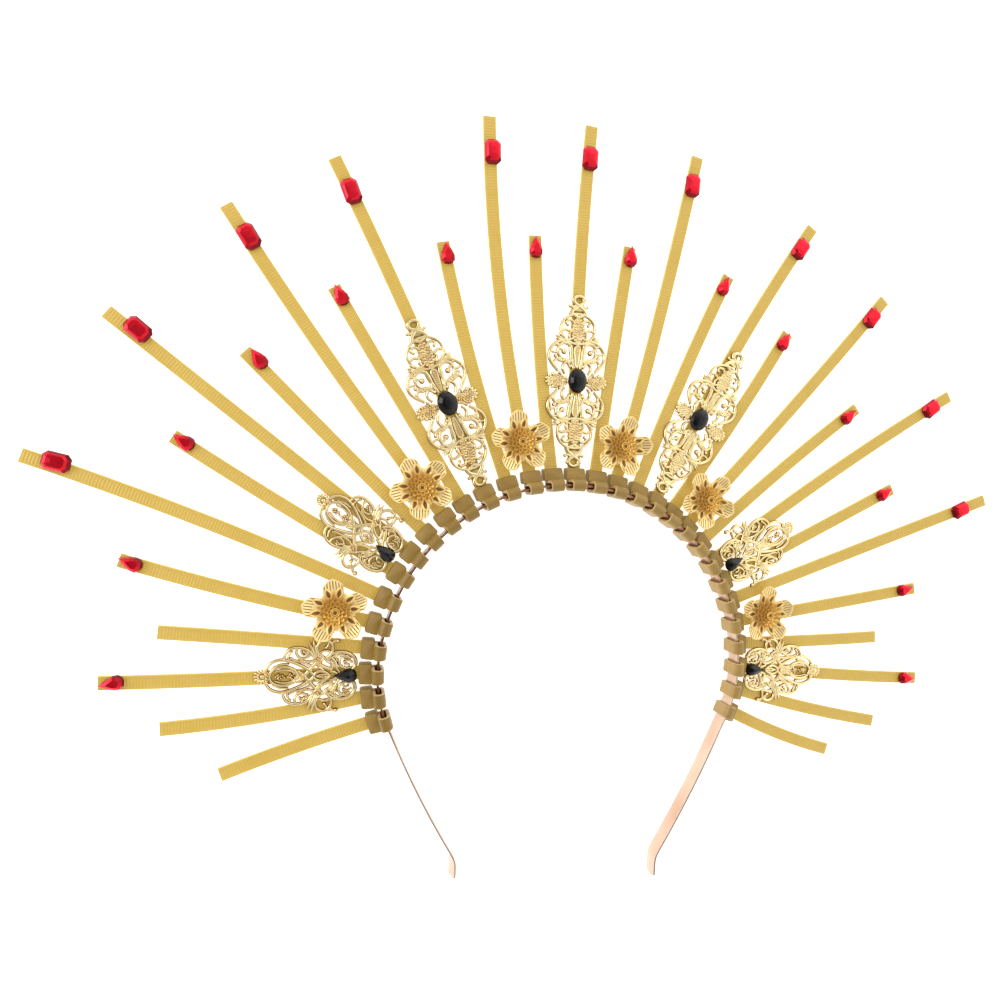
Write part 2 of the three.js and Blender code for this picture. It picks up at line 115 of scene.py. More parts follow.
# One row for each strap, clockwise. at, lean: degrees. strap: length of the ray. bow: how far it bends to
# the side. stone, inset from the cut end, side: what it carries, if anything, and where. turn: degrees.
TIES = table(
    "at lean strap bow stone inset side turn",
    (-104.2, -4.5, 52.4, 0.6),
    (-97.2, -1.0, 67.5, -1.1),
    (-90.3, -1.5, 85.5, -0.5, "drop", 4.2, 0.0, -11),
    (-83.4, -2.2, 68.3, 0.2),
    (-76.4, 0.0, 85.0, -1.0, "drop", 3.7, 0.3, 7),
    (-68.9, -0.4, 123.8, 1.8, "oblong", 10.6, 1.7, -6),
    (-61.4, 1.5, 86.5, -0.6, "drop", 3.7, 0.6, 0),
    (-54.6, 1.2, 126.4, 0.1, "oblong", 11.1, 1.8, 2),
    (-47.8, 0.7, 86.9, -0.2, "drop", 4.8, 1.6, 10),
    (-41.0, 3.3, 128.2, -1.4, "oblong", 12.8, 0.6, 2),
    (-34.4, 0.6, 87.2, -0.2, "drop", 3.4, 0.4, 2),
    (-27.6, 0.3, 126.7, 1.2, "oblong", 12.8, 0.0, 6),
    (-20.5, 2.3, 88.7, -1.4, "drop", 4.3, 0.8, 5),
    (-13.4, 3.7, 130.9, -3.6, "oblong", 13.1, 0.8, 1),
    (-6.7, -0.5, 87.3, -1.1, "drop", 4.4, 0.0, 2),
    (0.0, 0.0, 129.8, -1.6, "oblong", 12.6, 0.3, -1),
    (6.8, -0.9, 87.4, -0.2, "drop", 3.7, 0.7, -4),
    (13.6, -1.9, 129.7, 1.0, "oblong", 11.8, 0.2, -7),
    (20.4, 1.2, 91.4, -1.1, "drop", 4.6, -0.2, -1),
    (27.2, 1.6, 128.6, -2.3, "oblong", 11.0, 0.4, 0),
    (33.7, -1.4, 86.3, 1.0, "drop", 3.9, 0.1, 1),
    (40.2, 0.8, 128.4, 0.9, "oblong", 10.6, 0.3, -3),
    (47.2, 2.4, 87.8, -1.0, "drop", 5.6, 0.1, -5),
    (54.4, 1.3, 129.6, -1.7, "oblong", 11.5, 0.1, -5),
    (61.5, 1.0, 85.4, 0.1, "drop", 4.8, -0.3, -6),
    (68.4, 1.0, 128.6, -0.1, "oblong", 14.1, -0.1, -5),
    (75.2, 4.9, 84.6, 0.1, "drop", 5.3, -0.5, -6),
    (82.2, 5.4, 63.2, 0.3),
    (89.3, 4.7, 84.6, 0.9, "drop", 5.1, 0.0, 1),
    (96.5, 6.1, 66.3, 1.0),
    (103.5, 7.0, 48.2, 1.2),
)

# x, y: middle of a lozenge or flower, or foot of a fan. turn: degrees clockwise from +Y. shift: how far to
# the side a lozenge's stone sits.
LOZENGES = table(
    "name x y turn shift",
    ("left", -50.3, 98.4, -26.5, 0.0),
    ("centre", -1.2, 110.6, -1.0, 0.0),
    ("right", 51.6, 98.8, 29.0, -1.4),
)
FANS = table(
    "name x y turn",
    ("low_left", -78.4, -1.2, -90.4),
    ("high_left", -67.3, 41.0, -51.5),
    ("high_right", 66.5, 41.0, 58.4),
    ("low_right", 78.0, -0.6, 91.5),
)
FLOWERS = table(
    "name x y turn",
    ("1", -86.8, 21.9, -7),
    ("2", -58.3, 67.4, -34),
    ("3", -21.9, 86.3, -11),
    ("4", 18.8, 87.0, 13),
    ("5", 56.2, 67.9, -31),
    ("6", 85.6, 22.2, -1),
)

# Scrolls of a quarter of the lozenge, repeated four times. width: of the wire. knob: radius of the bead it
# ends in, or 0. beads: radius of a row of small beads along it, or 0. path: (side, along) points of a
# smooth line from the middle of the plate.
LOZENGE_SCROLLS = table(
    "width knob beads path",
    (1.0, 0, 0, [(5.0, 15.4), (7.4, 14.8), (9.5, 13.2), (10.9, 10.8), (10.9, 8.3), (9.5, 5.9), (7.3, 3.6)]),
    (0.95, 0, 0, [(2.7, 7.2), (2.1, 9.5), (2.3, 12.2), (3.8, 14.1), (5.9, 14.2), (7.4, 12.6), (7.5, 10.4),
      (6.3, 8.6), (4.4, 8.2)]),
    (0.8, 1.05, 0, [(7.4, 12.2), (6.3, 11.9), (5.2, 11.0)]),
    (0.7, 0.6, 0, [(6.4, 14.2), (7.2, 13.4), (8.3, 13.5)]),
    (0.7, 0, 0.42, [(7.5, 10.8), (8.9, 10.6), (10.7, 10.9)]),
    (0.9, 0.7, 0.5, [(2.8, 7.3), (4.4, 7.8), (6.0, 7.5), (7.6, 8.1), (8.6, 9.2)]),
    (0.85, 0, 0, [(6.2, 8.2), (7.9, 8.2), (8.9, 7.0), (8.7, 5.6), (7.5, 4.0)]),
    (0.9, 0, 0, [(2.7, 6.7), (4.1, 7.2), (5.3, 6.2), (5.6, 4.5), (4.6, 2.6)]),
    (0.8, 0.95, 0, [(3.9, 7.1), (3.2, 6.2), (2.4, 5.6)]),
    (0.85, 0, 0, [(5.6, 15.6), (3.4, 14.5), (0.0, 14.0)]),
    (0.85, 0, 0.5, [(1.8, 19.5), (3.3, 19.0), (4.9, 19.5), (6.4, 18.9)]),
    (0.85, 0.6, 0, [(1.6, 22.0), (2.8, 23.0), (4.2, 22.9), (4.8, 22.0), (4.1, 21.2)]),
    (0.8, 0, 0.45, [(1.6, 16.4), (3.1, 15.7), (4.8, 15.6)]),
    (0.75, 0, 0.45, [(3.0, 15.9), (3.5, 17.3), (2.9, 18.6)]),
    (1.2, 0, 0, [(3.1, 25.0), (2.3, 26.7), (0.0, 28.5), (-1.7, 29.7), (-1.9, 31.0), (-1.2, 31.9),
      (0.0, 32.3)]),
    (1.0, 0, 0, [(0.0, 24.3), (1.4, 24.8), (2.5, 25.7)]),
    (0.85, 0.65, 0, [(0.9, 28.6), (2.4, 28.0), (3.4, 28.3)]),
    (0.6, 0.5, 0, [(1.9, 29.7), (2.5, 30.3), (2.6, 31.0)]),
    (1.15, 0, 0, [(2.7, 13.6), (2.4, 10.4), (1.8, 7.6), (1.3, 4.8)]),
    (0.6, 0, 0, [(0.0, 13.5), (0.9, 12.8), (1.1, 11.2), (0.7, 8.4), (0.3, 5.4)]),
    (0.8, 0.6, 0, [(4.0, 1.0), (5.6, 1.8), (6.6, 2.9)]),
)
# Whole rings on the axis, repeated at both ends: middle, half sizes and wire width.
LOZENGE_RINGS = table(
    "along across up width",
    (19.8, 6.8, 5.7, 1.0),
)
# Pointed leaves: foot, tip and widest half width.
LOZENGE_LEAVES = table(
    "foot tip half",
    ((5.6, 15.6), (8.8, 17.0), 0.55),
    ((6.0, 15.3), (8.9, 15.9), 0.5),
    ((5.6, 16.2), (7.4, 18.2), 0.5),
    ((1.4, 5.4), (2.9, 8.9), 0.5),
    ((1.1, 5.6), (2.2, 9.4), 0.4),
    ((9.8, 1.0), (11.4, 2.1), 0.75),
    ((10.4, 0.4), (12.3, 0.8), 0.7),
    ((8.6, 1.6), (9.7, 3.0), 0.75),
)
# Patches of small nuggets: middle, half sizes, how many and their radius.
LOZENGE_PATCHES = table(
    "side along across up count radius",
    (8.0, 0.0, 3.4, 2.5, 40, 0.66),
    (4.5, 0.0, 1.3, 1.2, 8, 0.62),
    (0.0, 19.0, 2.6, 4.7, 52, 0.68),
    (0.0, -19.0, 2.6, 4.7, 52, 0.68),
    (-8.0, 0.0, 3.4, 2.5, 40, 0.66),
    (-4.5, 0.0, 1.3, 1.2, 8, 0.62),
)

# Solid webs under them, mirrored to both sides or both ends: middle and half sizes of an oval.
LOZENGE_WEBS = table(
    "side along across up",
    (0.0, 19.2, 2.4, 5.0),
    (0.0, 9.4, 1.3, 4.6),
    (7.6, 0.0, 3.4, 1.8),
    (0.0, 27.0, 1.7, 0.6),
)

# Scrolls of the fan's right half, repeated on the left. along: from the foot beside the band.
FAN_SCROLLS = table(
    "width knob beads path",
    (1.0, 0, 0, [(2.0, 1.6), (3.4, 0.5), (5.4, 0.4), (7.2, 1.8), (8.3, 4.4), (8.4, 7.0), (7.6, 9.0),
      (6.2, 10.4)]),
    (0.8, 0, 0, [(2.8, 1.8), (2.5, 3.8), (3.3, 5.5), (5.0, 6.2), (6.6, 5.4), (7.0, 3.6), (6.0, 2.0)]),
    (0.65, 0.5, 0, [(2.7, 4.5), (3.7, 4.4), (4.2, 3.6), (3.8, 2.8)]),
    (0.7, 0.55, 0, [(6.9, 4.6), (7.6, 6.2), (6.6, 7.4), (5.6, 6.9)]),
    (0.9, 0, 0, [(6.3, 10.4), (7.4, 9.2), (9.2, 8.6), (11.2, 8.9), (12.5, 10.3), (12.6, 12.0),
      (11.5, 13.5), (9.7, 14.0), (7.9, 13.2), (6.6, 11.7)]),
    (0.7, 0.7, 0, [(12.3, 10.3), (11.1, 10.1), (10.1, 10.8)]),
    (0.75, 0.85, 0, [(11.4, 9.0), (12.4, 8.0), (12.5, 6.8)]),
    (0.95, 0.7, 0, [(7.4, 15.0), (9.0, 17.0), (9.9, 19.4), (9.9, 21.9), (9.0, 23.9), (7.3, 25.0),
      (5.9, 25.1)]),
    (0.75, 0.6, 0, [(9.8, 20.9), (8.2, 21.1), (6.8, 20.2), (6.2, 18.6), (6.8, 17.0)]),
    (0.7, 0.6, 0.45, [(5.4, 23.5), (7.0, 23.6), (8.6, 22.8)]),
    (0.95, 0, 0, [(1.5, 15.6), (3.1, 18.2), (4.6, 21.4), (5.6, 24.6), (5.6, 27.2), (4.5, 29.6),
      (2.6, 31.0), (0.0, 31.4)]),
    (0.95, 0, 0, [(0.0, 20.4), (1.8, 21.2), (3.0, 23.4), (3.3, 25.6), (2.8, 28.0), (1.5, 29.5),
      (0.0, 29.9)]),
    (0.6, 0, 0.42, [(0.4, 20.6), (1.9, 22.6), (2.3, 25.2), (1.7, 27.8)]),
    (1.05, 0, 0, [(4.8, 14.0), (2.7, 15.8), (0.0, 18.2), (-1.8, 20.4)]),
    (0.95, 0, 0, [(0.0, 14.6), (1.8, 16.4), (3.4, 18.8), (4.4, 21.0)]),
    (0.75, 0, 0.45, [(5.6, 14.4), (5.0, 16.6), (5.4, 18.8), (6.4, 20.2)]),
    (0.9, 0, 0.5, [(2.3, 8.6), (3.0, 11.0), (4.3, 13.0), (5.6, 14.2)]),
    (0.8, 0, 0, [(2.4, 8.4), (4.2, 9.0), (5.2, 10.4), (6.6, 11.6)]),
    (0.8, 0, 0.5, [(4.4, 13.4), (5.6, 12.4), (6.6, 11.4)]),
    (0.8, 0, 0, [(0.0, 9.2), (1.1, 10.6), (1.7, 12.6), (1.1, 14.2), (0.0, 14.9)]),
    (0.5, 0, 0, [(0.3, 10.0), (0.45, 12.0), (0.0, 14.0)]),
    (0.75, 0, 0.45, [(1.2, 6.0), (2.6, 6.8), (4.2, 7.6), (5.6, 8.8)]),
    (0.65, 0.5, 0, [(4.6, 1.4), (5.4, 2.8), (5.0, 4.4)]),
    (0.7, 0, 0.42, [(8.3, 6.4), (7.2, 7.8), (6.0, 9.6)]),
    (0.7, 0.5, 0, [(8.4, 9.2), (9.0, 11.0), (8.4, 12.6)]),
    (0.7, 0.5, 0, [(7.2, 15.4), (7.6, 17.4), (8.9, 18.6)]),
    (0.7, 0, 0.42, [(3.4, 15.6), (4.4, 17.6), (5.1, 19.6), (5.6, 21.6), (6.4, 22.8)]),
    (0.6, 0, 0.4, [(4.3, 23.6), (4.1, 26.4), (3.1, 28.6)]),
    (0.8, 0, 0, [(0.0, 6.2), (1.1, 7.4), (1.7, 9.2)]),
)
FAN_LEAVES = table(
    "foot tip half",
    ((6.0, 13.9), (12.7, 15.3), 0.7),
    ((5.9, 14.2), (12.2, 16.8), 0.65),
    ((5.8, 14.4), (9.9, 17.3), 0.6),
    ((6.2, 13.2), (9.6, 14.2), 0.5),
    ((2.9, 6.4), (6.9, 9.0), 0.75),
    ((2.7, 7.2), (5.8, 9.9), 0.6),
    ((1.9, 11.0), (3.6, 14.2), 0.45),
    ((2.6, 11.6), (4.6, 14.4), 0.4),
)
FAN_PATCHES = table(
    "side along across up count radius",
    (6.2, 3.6, 1.0, 1.3, 6, 0.5),
    (-6.2, 3.6, 1.0, 1.3, 6, 0.5),
    (0.0, 18.6, 1.6, 1.6, 12, 0.62),
    (0.0, 22.3, 1.2, 1.5, 9, 0.55),
    (0.0, 30.7, 2.9, 0.6, 14, 0.55),
    (5.6, 13.0, 0.9, 0.9, 5, 0.55),
    (-5.6, 13.0, 0.9, 0.9, 5, 0.55),
    (8.2, 18.6, 0.9, 1.2, 6, 0.5),
    (-8.2, 18.6, 0.9, 1.2, 6, 0.5),
    (0.0, 11.8, 0.9, 1.6, 8, 0.5),
    (0.0, 26.2, 0.8, 2.0, 10, 0.5),
)
FAN_WEBS = table(
    "side along across up",
    (0.0, 18.4, 1.7, 2.4),
    (0.0, 30.7, 3.0, 0.8),
    (0.0, 32.6, 1.6, 1.3),
    (5.4, 13.2, 1.1, 1.3),
    (6.2, 3.6, 0.8, 1.1),
)
CREST_FOOT = 32.2          # along the fan, where the teeth of its crest spread from


# ------------------------------------------------------------------ meshes from arrays


class Shape:
    """Points, faces and one number per point, gathered until they become a mesh."""

    def __init__(self):
        self.points = []
        self.faces = []
        self.tones = []
        self.count = 0

    def add(self, points, faces, tone):
        """points: (n, 3) in millimetres. faces: arrays of (m, corners). tone: one number or n of them."""
        points = np.asarray(points, float).reshape(-1, 3)
        self.points.append(points)
        self.faces += [np.asarray(face, int).reshape(-1, np.shape(face)[-1]) + self.count for face in faces]
        self.tones.append(np.broadcast_to(np.asarray(tone, float), (len(points),)))
        self.count += len(points)

    def placed(self, x, y, turn):
        """The same shape turned clockwise from +Y by turn degrees and moved by x and y."""
        points = np.concatenate(self.points)
        cosine, sine = math.cos(math.radians(turn)), math.sin(math.radians(turn))
        rotation = np.array([[cosine, -sine, 0], [sine, cosine, 0], [0, 0, 1]])
        moved = Shape()
        moved.add(points @ rotation + np.array([x, y, 0.0]), [], np.concatenate(self.tones))
        moved.faces = list(self.faces)
        return moved

    def at_spot(self, spot):
        """The same shape at a table row's place and turn."""
        return self.placed(spot["x"], spot["y"], spot["turn"])


def new_piece(name, shape, material, replaced, smooth=True, sharp=None):
    """Turns a Shape into an object that rides on the crown and stands for the named CAD nodes."""
    points = np.concatenate(shape.points) * MM + CENTRE
    sizes = np.concatenate([np.full(len(face), face.shape[1]) for face in shape.faces])
    mesh = bpy.data.meshes.new(name)
    mesh.vertices.add(len(points))
    mesh.vertices.foreach_set("co", points.astype(np.float32).ravel())
    mesh.loops.add(int(sizes.sum()))
    corners = np.concatenate([face.ravel() for face in shape.faces])
    mesh.loops.foreach_set("vertex_index", corners.astype(np.int32))
    mesh.polygons.add(len(sizes))
    mesh.polygons.foreach_set("loop_start", (np.cumsum(sizes) - sizes).astype(np.int32))
    mesh.polygons.foreach_set("use_smooth", np.full(len(sizes), smooth))
    mesh.update(calc_edges=True)
    if mesh.validate():
        raise RuntimeError(f"{name} has faces that Blender had to mend")
    tone = mesh.attributes.new("tone", "FLOAT", "POINT")
    tone.data.foreach_set("value", np.concatenate(shape.tones).astype(np.float32))
    if smooth and sharp:
        mesh.set_sharp_from_angle(angle=math.radians(sharp))
    mesh.materials.append(material)
    piece = bpy.data.objects.new(name, mesh)
    bpy.context.scene.collection.objects.link(piece)
    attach(piece, "root")
    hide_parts(*replaced)
    return piece


def grid_faces(rows, columns, around):
    """Four-cornered faces of a rows by columns grid of points. around: the columns close on themselves."""
    across = columns if around else columns - 1
    row, column = np.meshgrid(np.arange(rows - 1), np.arange(across), indexing="ij")
    after = (column + 1) % columns
    near, far = row * columns, (row + 1) * columns
    corners = [near + column, near + after, far + after, far + column]
    return np.stack(corners, axis=-1).reshape(-1, 4)


def capped_tube(rings, columns):
    """Faces of a stack of rings: a grid that closes on itself, and one flat face at each end."""
    ring = np.arange(columns)
    return [grid_faces(rings, columns, True), ring[::-1][None, :], (rings - 1) * columns + ring[None, :]]


def distances(line):
    """Distance along a line from its start to each of its points."""
    return np.concatenate([[0], np.cumsum(np.linalg.norm(np.diff(line, axis=0), axis=1))])


def smooth_line(points, steps=5):
    """Cubic through the points: at each one its slope is half the chord between its two neighbours."""
    points = np.asarray(points, float)
    before = np.vstack([2 * points[0] - points[1], points, 2 * points[-1] - points[-2]])
    share = np.linspace(0, 1, steps, endpoint=False)[None, :, None]
    a, b, c, d = (before[i:len(before) - 3 + i, None, :] for i in range(4))
    spans = 0.5 * (2 * b + (c - a) * share + (2 * a - 5 * b + 4 * c - d) * share**2
                   + (3 * b - a - 3 * c + d) * share**3)
    return np.vstack([spans.reshape(-1, points.shape[1]), points[-1]])


def directions(path, closed=False):
    """Unit vectors along a path: the step between the two neighbours of each point."""
    if closed:
        steps = np.roll(path, -1, axis=0) - np.roll(path, 1, axis=0)
    else:
        steps = np.gradient(path, axis=0)
    return steps / np.linalg.norm(steps, axis=1, keepdims=True)


def sweep(shape, path, side, up, profile, tone, closed=False):
    """Carries a profile along a path: point = path + side * profile x + up * profile y. Flat ends close it.
    tone: one number for each point of each profile."""
    points = path[:, None, :] + side[:, None, :] * profile[..., 0:1] + up[:, None, :] * profile[..., 1:2]
    rows, columns = points.shape[:2]
    faces = capped_tube(rows, columns)
    if closed:
        first = np.arange(columns)
        last = (rows - 1) * columns + first
        faces = [faces[0], np.stack([last, np.roll(last, -1), np.roll(first, -1), first], axis=-1)]
    shape.add(points, faces, np.ravel(tone))


# Section of a wire, as shares of its half width and height. The height share is also each point's tone,
# which the materials turn into painted shade down the flanks.
WIRE_PROFILE = np.array([[1.1, 0], [1, 0.45], [0.66, 0.92], [0, 1], [-0.66, 0.92], [-1, 0.45], [-1.1, 0]])


def wire(shape, line, width, height, base, closed=False):
    """A flat-topped wire on a flat line: its flanks lean in to a narrower, low rounded top."""
    line = np.asarray(line, float)
    count = len(line)
    path = np.column_stack([line[:, 0], line[:, 1], np.broadcast_to(base, (count,))])
    along = directions(path, closed)
    up = np.tile([0.0, 0.0, 1.0], (count, 1))
    side = np.cross(up, along)
    side /= np.linalg.norm(side, axis=1, keepdims=True)
    widths = np.broadcast_to(width, (count,))[:, None]
    heights = np.broadcast_to(height, (count,))[:, None]
    profile = np.stack([WIRE_PROFILE[None, :, 0] * widths / 2, WIRE_PROFILE[None, :, 1] * heights], axis=-1)
    tone = np.broadcast_to(WIRE_PROFILE[None, :, 1], (count, len(WIRE_PROFILE)))
    sweep(shape, path, side, up, profile, tone, closed)


def leaf(shape, foot, tip, half, height, base, steps=7):
    """A pointed leaf: a wire whose width and height rise and fall as a sine from foot to tip."""
    share = np.linspace(0, 1, steps)
    line = np.asarray(foot)[None, :] * (1 - share[:, None]) + np.asarray(tip)[None, :] * share[:, None]
    swell = 0.12 + 0.88 * np.sin(np.pi * share) ** 0.8
    wire(shape, line, 2 * half * swell, height * (0.55 + 0.45 * swell), base)


DOME_ANGLES = (0.0, 32.0, 62.0)        # degrees from the rim of a bead to its rings
GOLDEN_ANGLE = 137.508
NUGGET_WIDTHS, NUGGET_HEIGHTS = 0.22, 0.16     # how much nuggets differ from each other


def dome(shape, x, y, radius, height, base, sides=8):
    """A bead: rings whose radius is the cosine and height the sine of an angle from the rim to the top.
    Its tone is that sine too, which the materials turn into painted shade at its foot.
    """
    angles = np.radians(DOME_ANGLES)
    count = len(angles)
    turn = np.linspace(0, 2 * np.pi, sides, endpoint=False)
    rings = np.stack([x + radius * np.cos(angles)[:, None] * np.cos(turn),
                      y + radius * np.cos(angles)[:, None] * np.sin(turn),
                      np.broadcast_to(base + height * np.sin(angles)[:, None], (count, sides))], axis=-1)
    points = np.vstack([rings.reshape(-1, 3), [[x, y, base + height]]])
    ring = (count - 1) * sides + np.arange(sides)
    top = np.stack([ring, np.roll(ring, -1), np.full(sides, count * sides)], axis=-1)
    tones = np.concatenate([np.repeat(np.sin(angles), sides), [1.0]])
    shape.add(points, [grid_faces(count, sides, True), top, np.arange(sides)[::-1][None, :]], tones)


def nuggets(shape, patch, height, base):
    """Beads on a sunflower spiral: the distance is the root of the share counted, and each step turns by the
    golden angle."""
    index = np.arange(patch["count"])
    share = np.sqrt((index + 0.5) / patch["count"])
    angle = index * math.radians(GOLDEN_ANGLE)
    xs = patch["side"] + patch["across"] * share * np.cos(angle)
    ys = patch["along"] + patch["up"] * share * np.sin(angle)
    sizes = patch["radius"] * (1 + NUGGET_WIDTHS * np.sin(index * 2.3))
    for x, y, size, lift in zip(xs, ys, sizes, np.sin(index * 1.7)):
        dome(shape, x, y, size, height * (1 + NUGGET_HEIGHTS * lift), base, 6)


def oval_line(along, across, up, count=28):
    """Points of an ellipse whose middle lies on the Y axis, at along."""
    turn = np.linspace(0, 2 * np.pi, count, endpoint=False)
    return np.column_stack([across * np.cos(turn), along + up * np.sin(turn)])


# ------------------------------------------------------------------ materials


def colour(hex_code):
    """Linear colour, with full opacity, of a six-figure screen colour."""
    channels = [int(hex_code[i:i + 2], 16) / 255 for i in (0, 2, 4)]
    linear = [c / 12.92 if c <= 0.04045 else ((c + 0.055) / 1.055) ** 2.4 for c in channels]
    return (*linear, 1.0)


def opaque(channels):
    """A colour setting with full opacity."""
    return (*channels, 1.0)


def tint(hex_code):
    """The same colour as a setting's default, without its opacity."""
    return colour(hex_code)[:3]


RGB = {"size": 3, "min": 0.0, "max": 1.0}


class Nodes:
    """Short hand for building the nodes of a material or a world, around its own shader."""

    def __init__(self, name, kind="materials", shader="BSDF_PRINCIPLED"):
        self.owner = getattr(bpy.data, kind).new(name)
        self.owner.use_nodes = True
        self.tree = self.owner.node_tree
        self.shader = next(node for node in self.tree.nodes if node.type == shader)

    def new(self, kind, **values):
        """A node, with values for its own properties and its sockets."""
        node = self.tree.nodes.new(kind)
        for key, value in values.items():
            if hasattr(node, key):
                setattr(node, key, value)
            else:
                node.inputs[key].default_value = value
        return node

    def link(self, source, target):
        self.tree.links.new(source, target)

    def constants(self, **values):
        """Values set straight on the shader's sockets."""
        for key, value in values.items():
            self.shader.inputs[key.replace("_", " ")].default_value = value

    def position(self):
        return self.new("ShaderNodeTexCoord").outputs["Object"]

    def tone(self):
        return self.new("ShaderNodeAttribute", attribute_name="tone").outputs["Fac"]

    def noise(self, scale, detail=3.0, stretch=None):
        """Noise on the piece's own coordinates, stretched if need be."""
        where = self.position()
        if stretch:
            mapping = self.new("ShaderNodeMapping")
            mapping.inputs["Scale"].default_value = stretch
            self.link(where, mapping.inputs["Vector"])
            where = mapping.outputs["Vector"]
        node = self.new("ShaderNodeTexNoise", Scale=scale, Detail=detail)
        self.link(where, node.inputs["Vector"])
        return node.outputs["Fac"]

    def ramp(self, source, stops):
        """Colours along a source. stops: (position, colour), from low to high."""
        node = self.new("ShaderNodeValToRGB")
        elements = node.color_ramp.elements
        elements[0].position, elements[0].color = stops[0]
        elements[1].position, elements[1].color = stops[-1]
        for position, value in stops[1:-1]:
            elements.new(position).color = value
        self.link(source, node.inputs["Fac"])
        return node.outputs["Color"]

    def mix(self, share, first, second):
        """Mixes two colours or sockets. share: a number or a socket."""
        node = self.new("ShaderNodeMix", data_type="RGBA")
        for value, socket in ((share, node.inputs[0]), (first, node.inputs[6]), (second, node.inputs[7])):
            if isinstance(value, bpy.types.NodeSocket):
                self.link(value, socket)
            else:
                socket.default_value = value
        return node.outputs[2]

    def spread(self, source, low, high, start=0.0, end=1.0):
        """Maps a source from start and end onto low and high."""
        node = self.new("ShaderNodeMapRange")
        for name, value in (("From Min", start), ("From Max", end), ("To Min", low), ("To Max", high)):
            node.inputs[name].default_value = value
        self.link(source, node.inputs["Value"])
        return node.outputs["Result"]

    def bump(self, source, strength, distance):
        node = self.new("ShaderNodeBump", Strength=strength, Distance=distance)
        self.link(source, node.inputs["Height"])
        self.link(node.outputs["Normal"], self.shader.inputs["Normal"])

    def base(self, source):
        self.link(source, self.shader.inputs["Base Color"])

    def roughness(self, source, low, high):
        self.link(self.spread(source, low, high), self.shader.inputs["Roughness"])


STRAP_CLOUD = "b89e48"
STRAP_PAINTED_GLOW = (0.75, 0.5, 0.1, 1.0)     # painted glow: light the straps give off to lift their shade under the plates
# CURL_LEFT_SHADE is painted shade on the curls at the crown's left, CURL_EDGE_HIGHLIGHT a painted highlight
# on their edges.
CURL_LEFT_SHADE, CURL_MIDDLE, CURL_EDGE_HIGHLIGHT = "90732f", "74582a", "ccb074"
CURL_TURN = (-0.06, 0.03)              # metres across the crown over which the painted shade on the curls' left side fades
# HEAD_SIDE_SHADE is painted shade on the heads' sides, and HEAD_PAINTED_GLOW a painted glow that lifts them.
HEAD_DEEP, HEAD_PALE, HEAD_SIDE_SHADE = "745828", "927642", "5c4320"
HEAD_PAINTED_GLOW = (0.7, 0.45, 0.02, 1.0)
# BAND_SHADE and BAND_COPPER_SHADE are painted shade: dark brown at the left of the arch, coppery at its top.
BAND_SHADE, BAND_COPPER_SHADE, BAND_CUT, BAND_STAIN = "6b3f22", "a4714e", "96887e", "b07c5c"
# WIRE_FLANK_SHADE is painted shade down the sides of the wires.
WIRE_PATINA, WIRE_FLANK_SHADE = "fbe09c", "c48e3a"
# PETAL_GAP_SHADE and PETAL_GROOVE_SHADE are painted shade in the petals' grooves and gaps.
PETAL_GAP_SHADE, PETAL_GROOVE_SHADE, PETAL_RIB, PETAL_PATINA = "66400f", "785020", "fad584", "b98a40"
# PETAL_PAINTED_GLOW is a painted glow that lifts the petals.
PETAL_PAINTED_GLOW = (1.0, 0.65, 0.2, 1.0)
# The black facets' deep, middle and painted-light greys.
BLACK_GLASS = ("020202", "08080a", "1c1c22")
NYLON = {"Specular_IOR_Level": 0.4, "Coat_Weight": 0.1, "Coat_Roughness": 0.3, "Subsurface_Weight": 0.2,
         "Subsurface_Radius": (1.0, 0.75, 0.3)}


def strap_material(settings):
    """Gold-coloured nylon with a fine grain: painted shade (tone), a little darker between the ribs and on
    its sides, and a painted glow that lifts its shade.
    """
    nodes = Nodes("gold_nylon_strap")
    cloud = nodes.noise(90.0, 4.0)
    body = nodes.mix(nodes.spread(cloud, 0.0, 1.0, 0.3, 0.7), colour(STRAP_CLOUD), opaque(settings.colour))
    nodes.base(nodes.mix(nodes.tone(), body, opaque(settings.groove_shade_colour)))
    nodes.roughness(cloud, 0.36, 0.52)
    nodes.bump(nodes.noise(1600.0, 2.0), 0.25, 0.00005)
    # Painted glow that lifts the straps' shade.
    nodes.constants(Subsurface_Scale=0.0025, Emission_Color=STRAP_PAINTED_GLOW, Emission_Strength=0.25, **NYLON)
    return nodes.owner


def curl_material(settings):
    """Duller nylon of the curls, honey brown, with painted shade that darkens them towards the crown's left,
    and a painted highlight along both edges (tone).
    """
    nodes = Nodes("honey_nylon_curl")
    cloud = nodes.noise(90.0, 4.0)
    axes = nodes.new("ShaderNodeSeparateXYZ")
    nodes.link(nodes.position(), axes.inputs["Vector"])
    across = nodes.spread(axes.outputs["X"], 0.0, 1.0, *CURL_TURN)
    # Painted shade: the curls darken towards the crown's left.
    honey = nodes.mix(across, colour(CURL_LEFT_SHADE), opaque(settings.curl_colour))
    middle = nodes.mix(nodes.spread(cloud, 0.4, 0.0, 0.3, 0.7), honey, colour(CURL_MIDDLE))
    # Painted highlight along the curls' edges (tone).
    nodes.base(nodes.mix(nodes.spread(nodes.tone(), 0.0, 0.8), middle, colour(CURL_EDGE_HIGHLIGHT)))
    nodes.roughness(cloud, 0.32, 0.48)
    nodes.bump(nodes.noise(1300.0, 2.0), 0.25, 0.00005)
    nodes.constants(Subsurface_Scale=0.0015, **NYLON)
    return nodes.owner


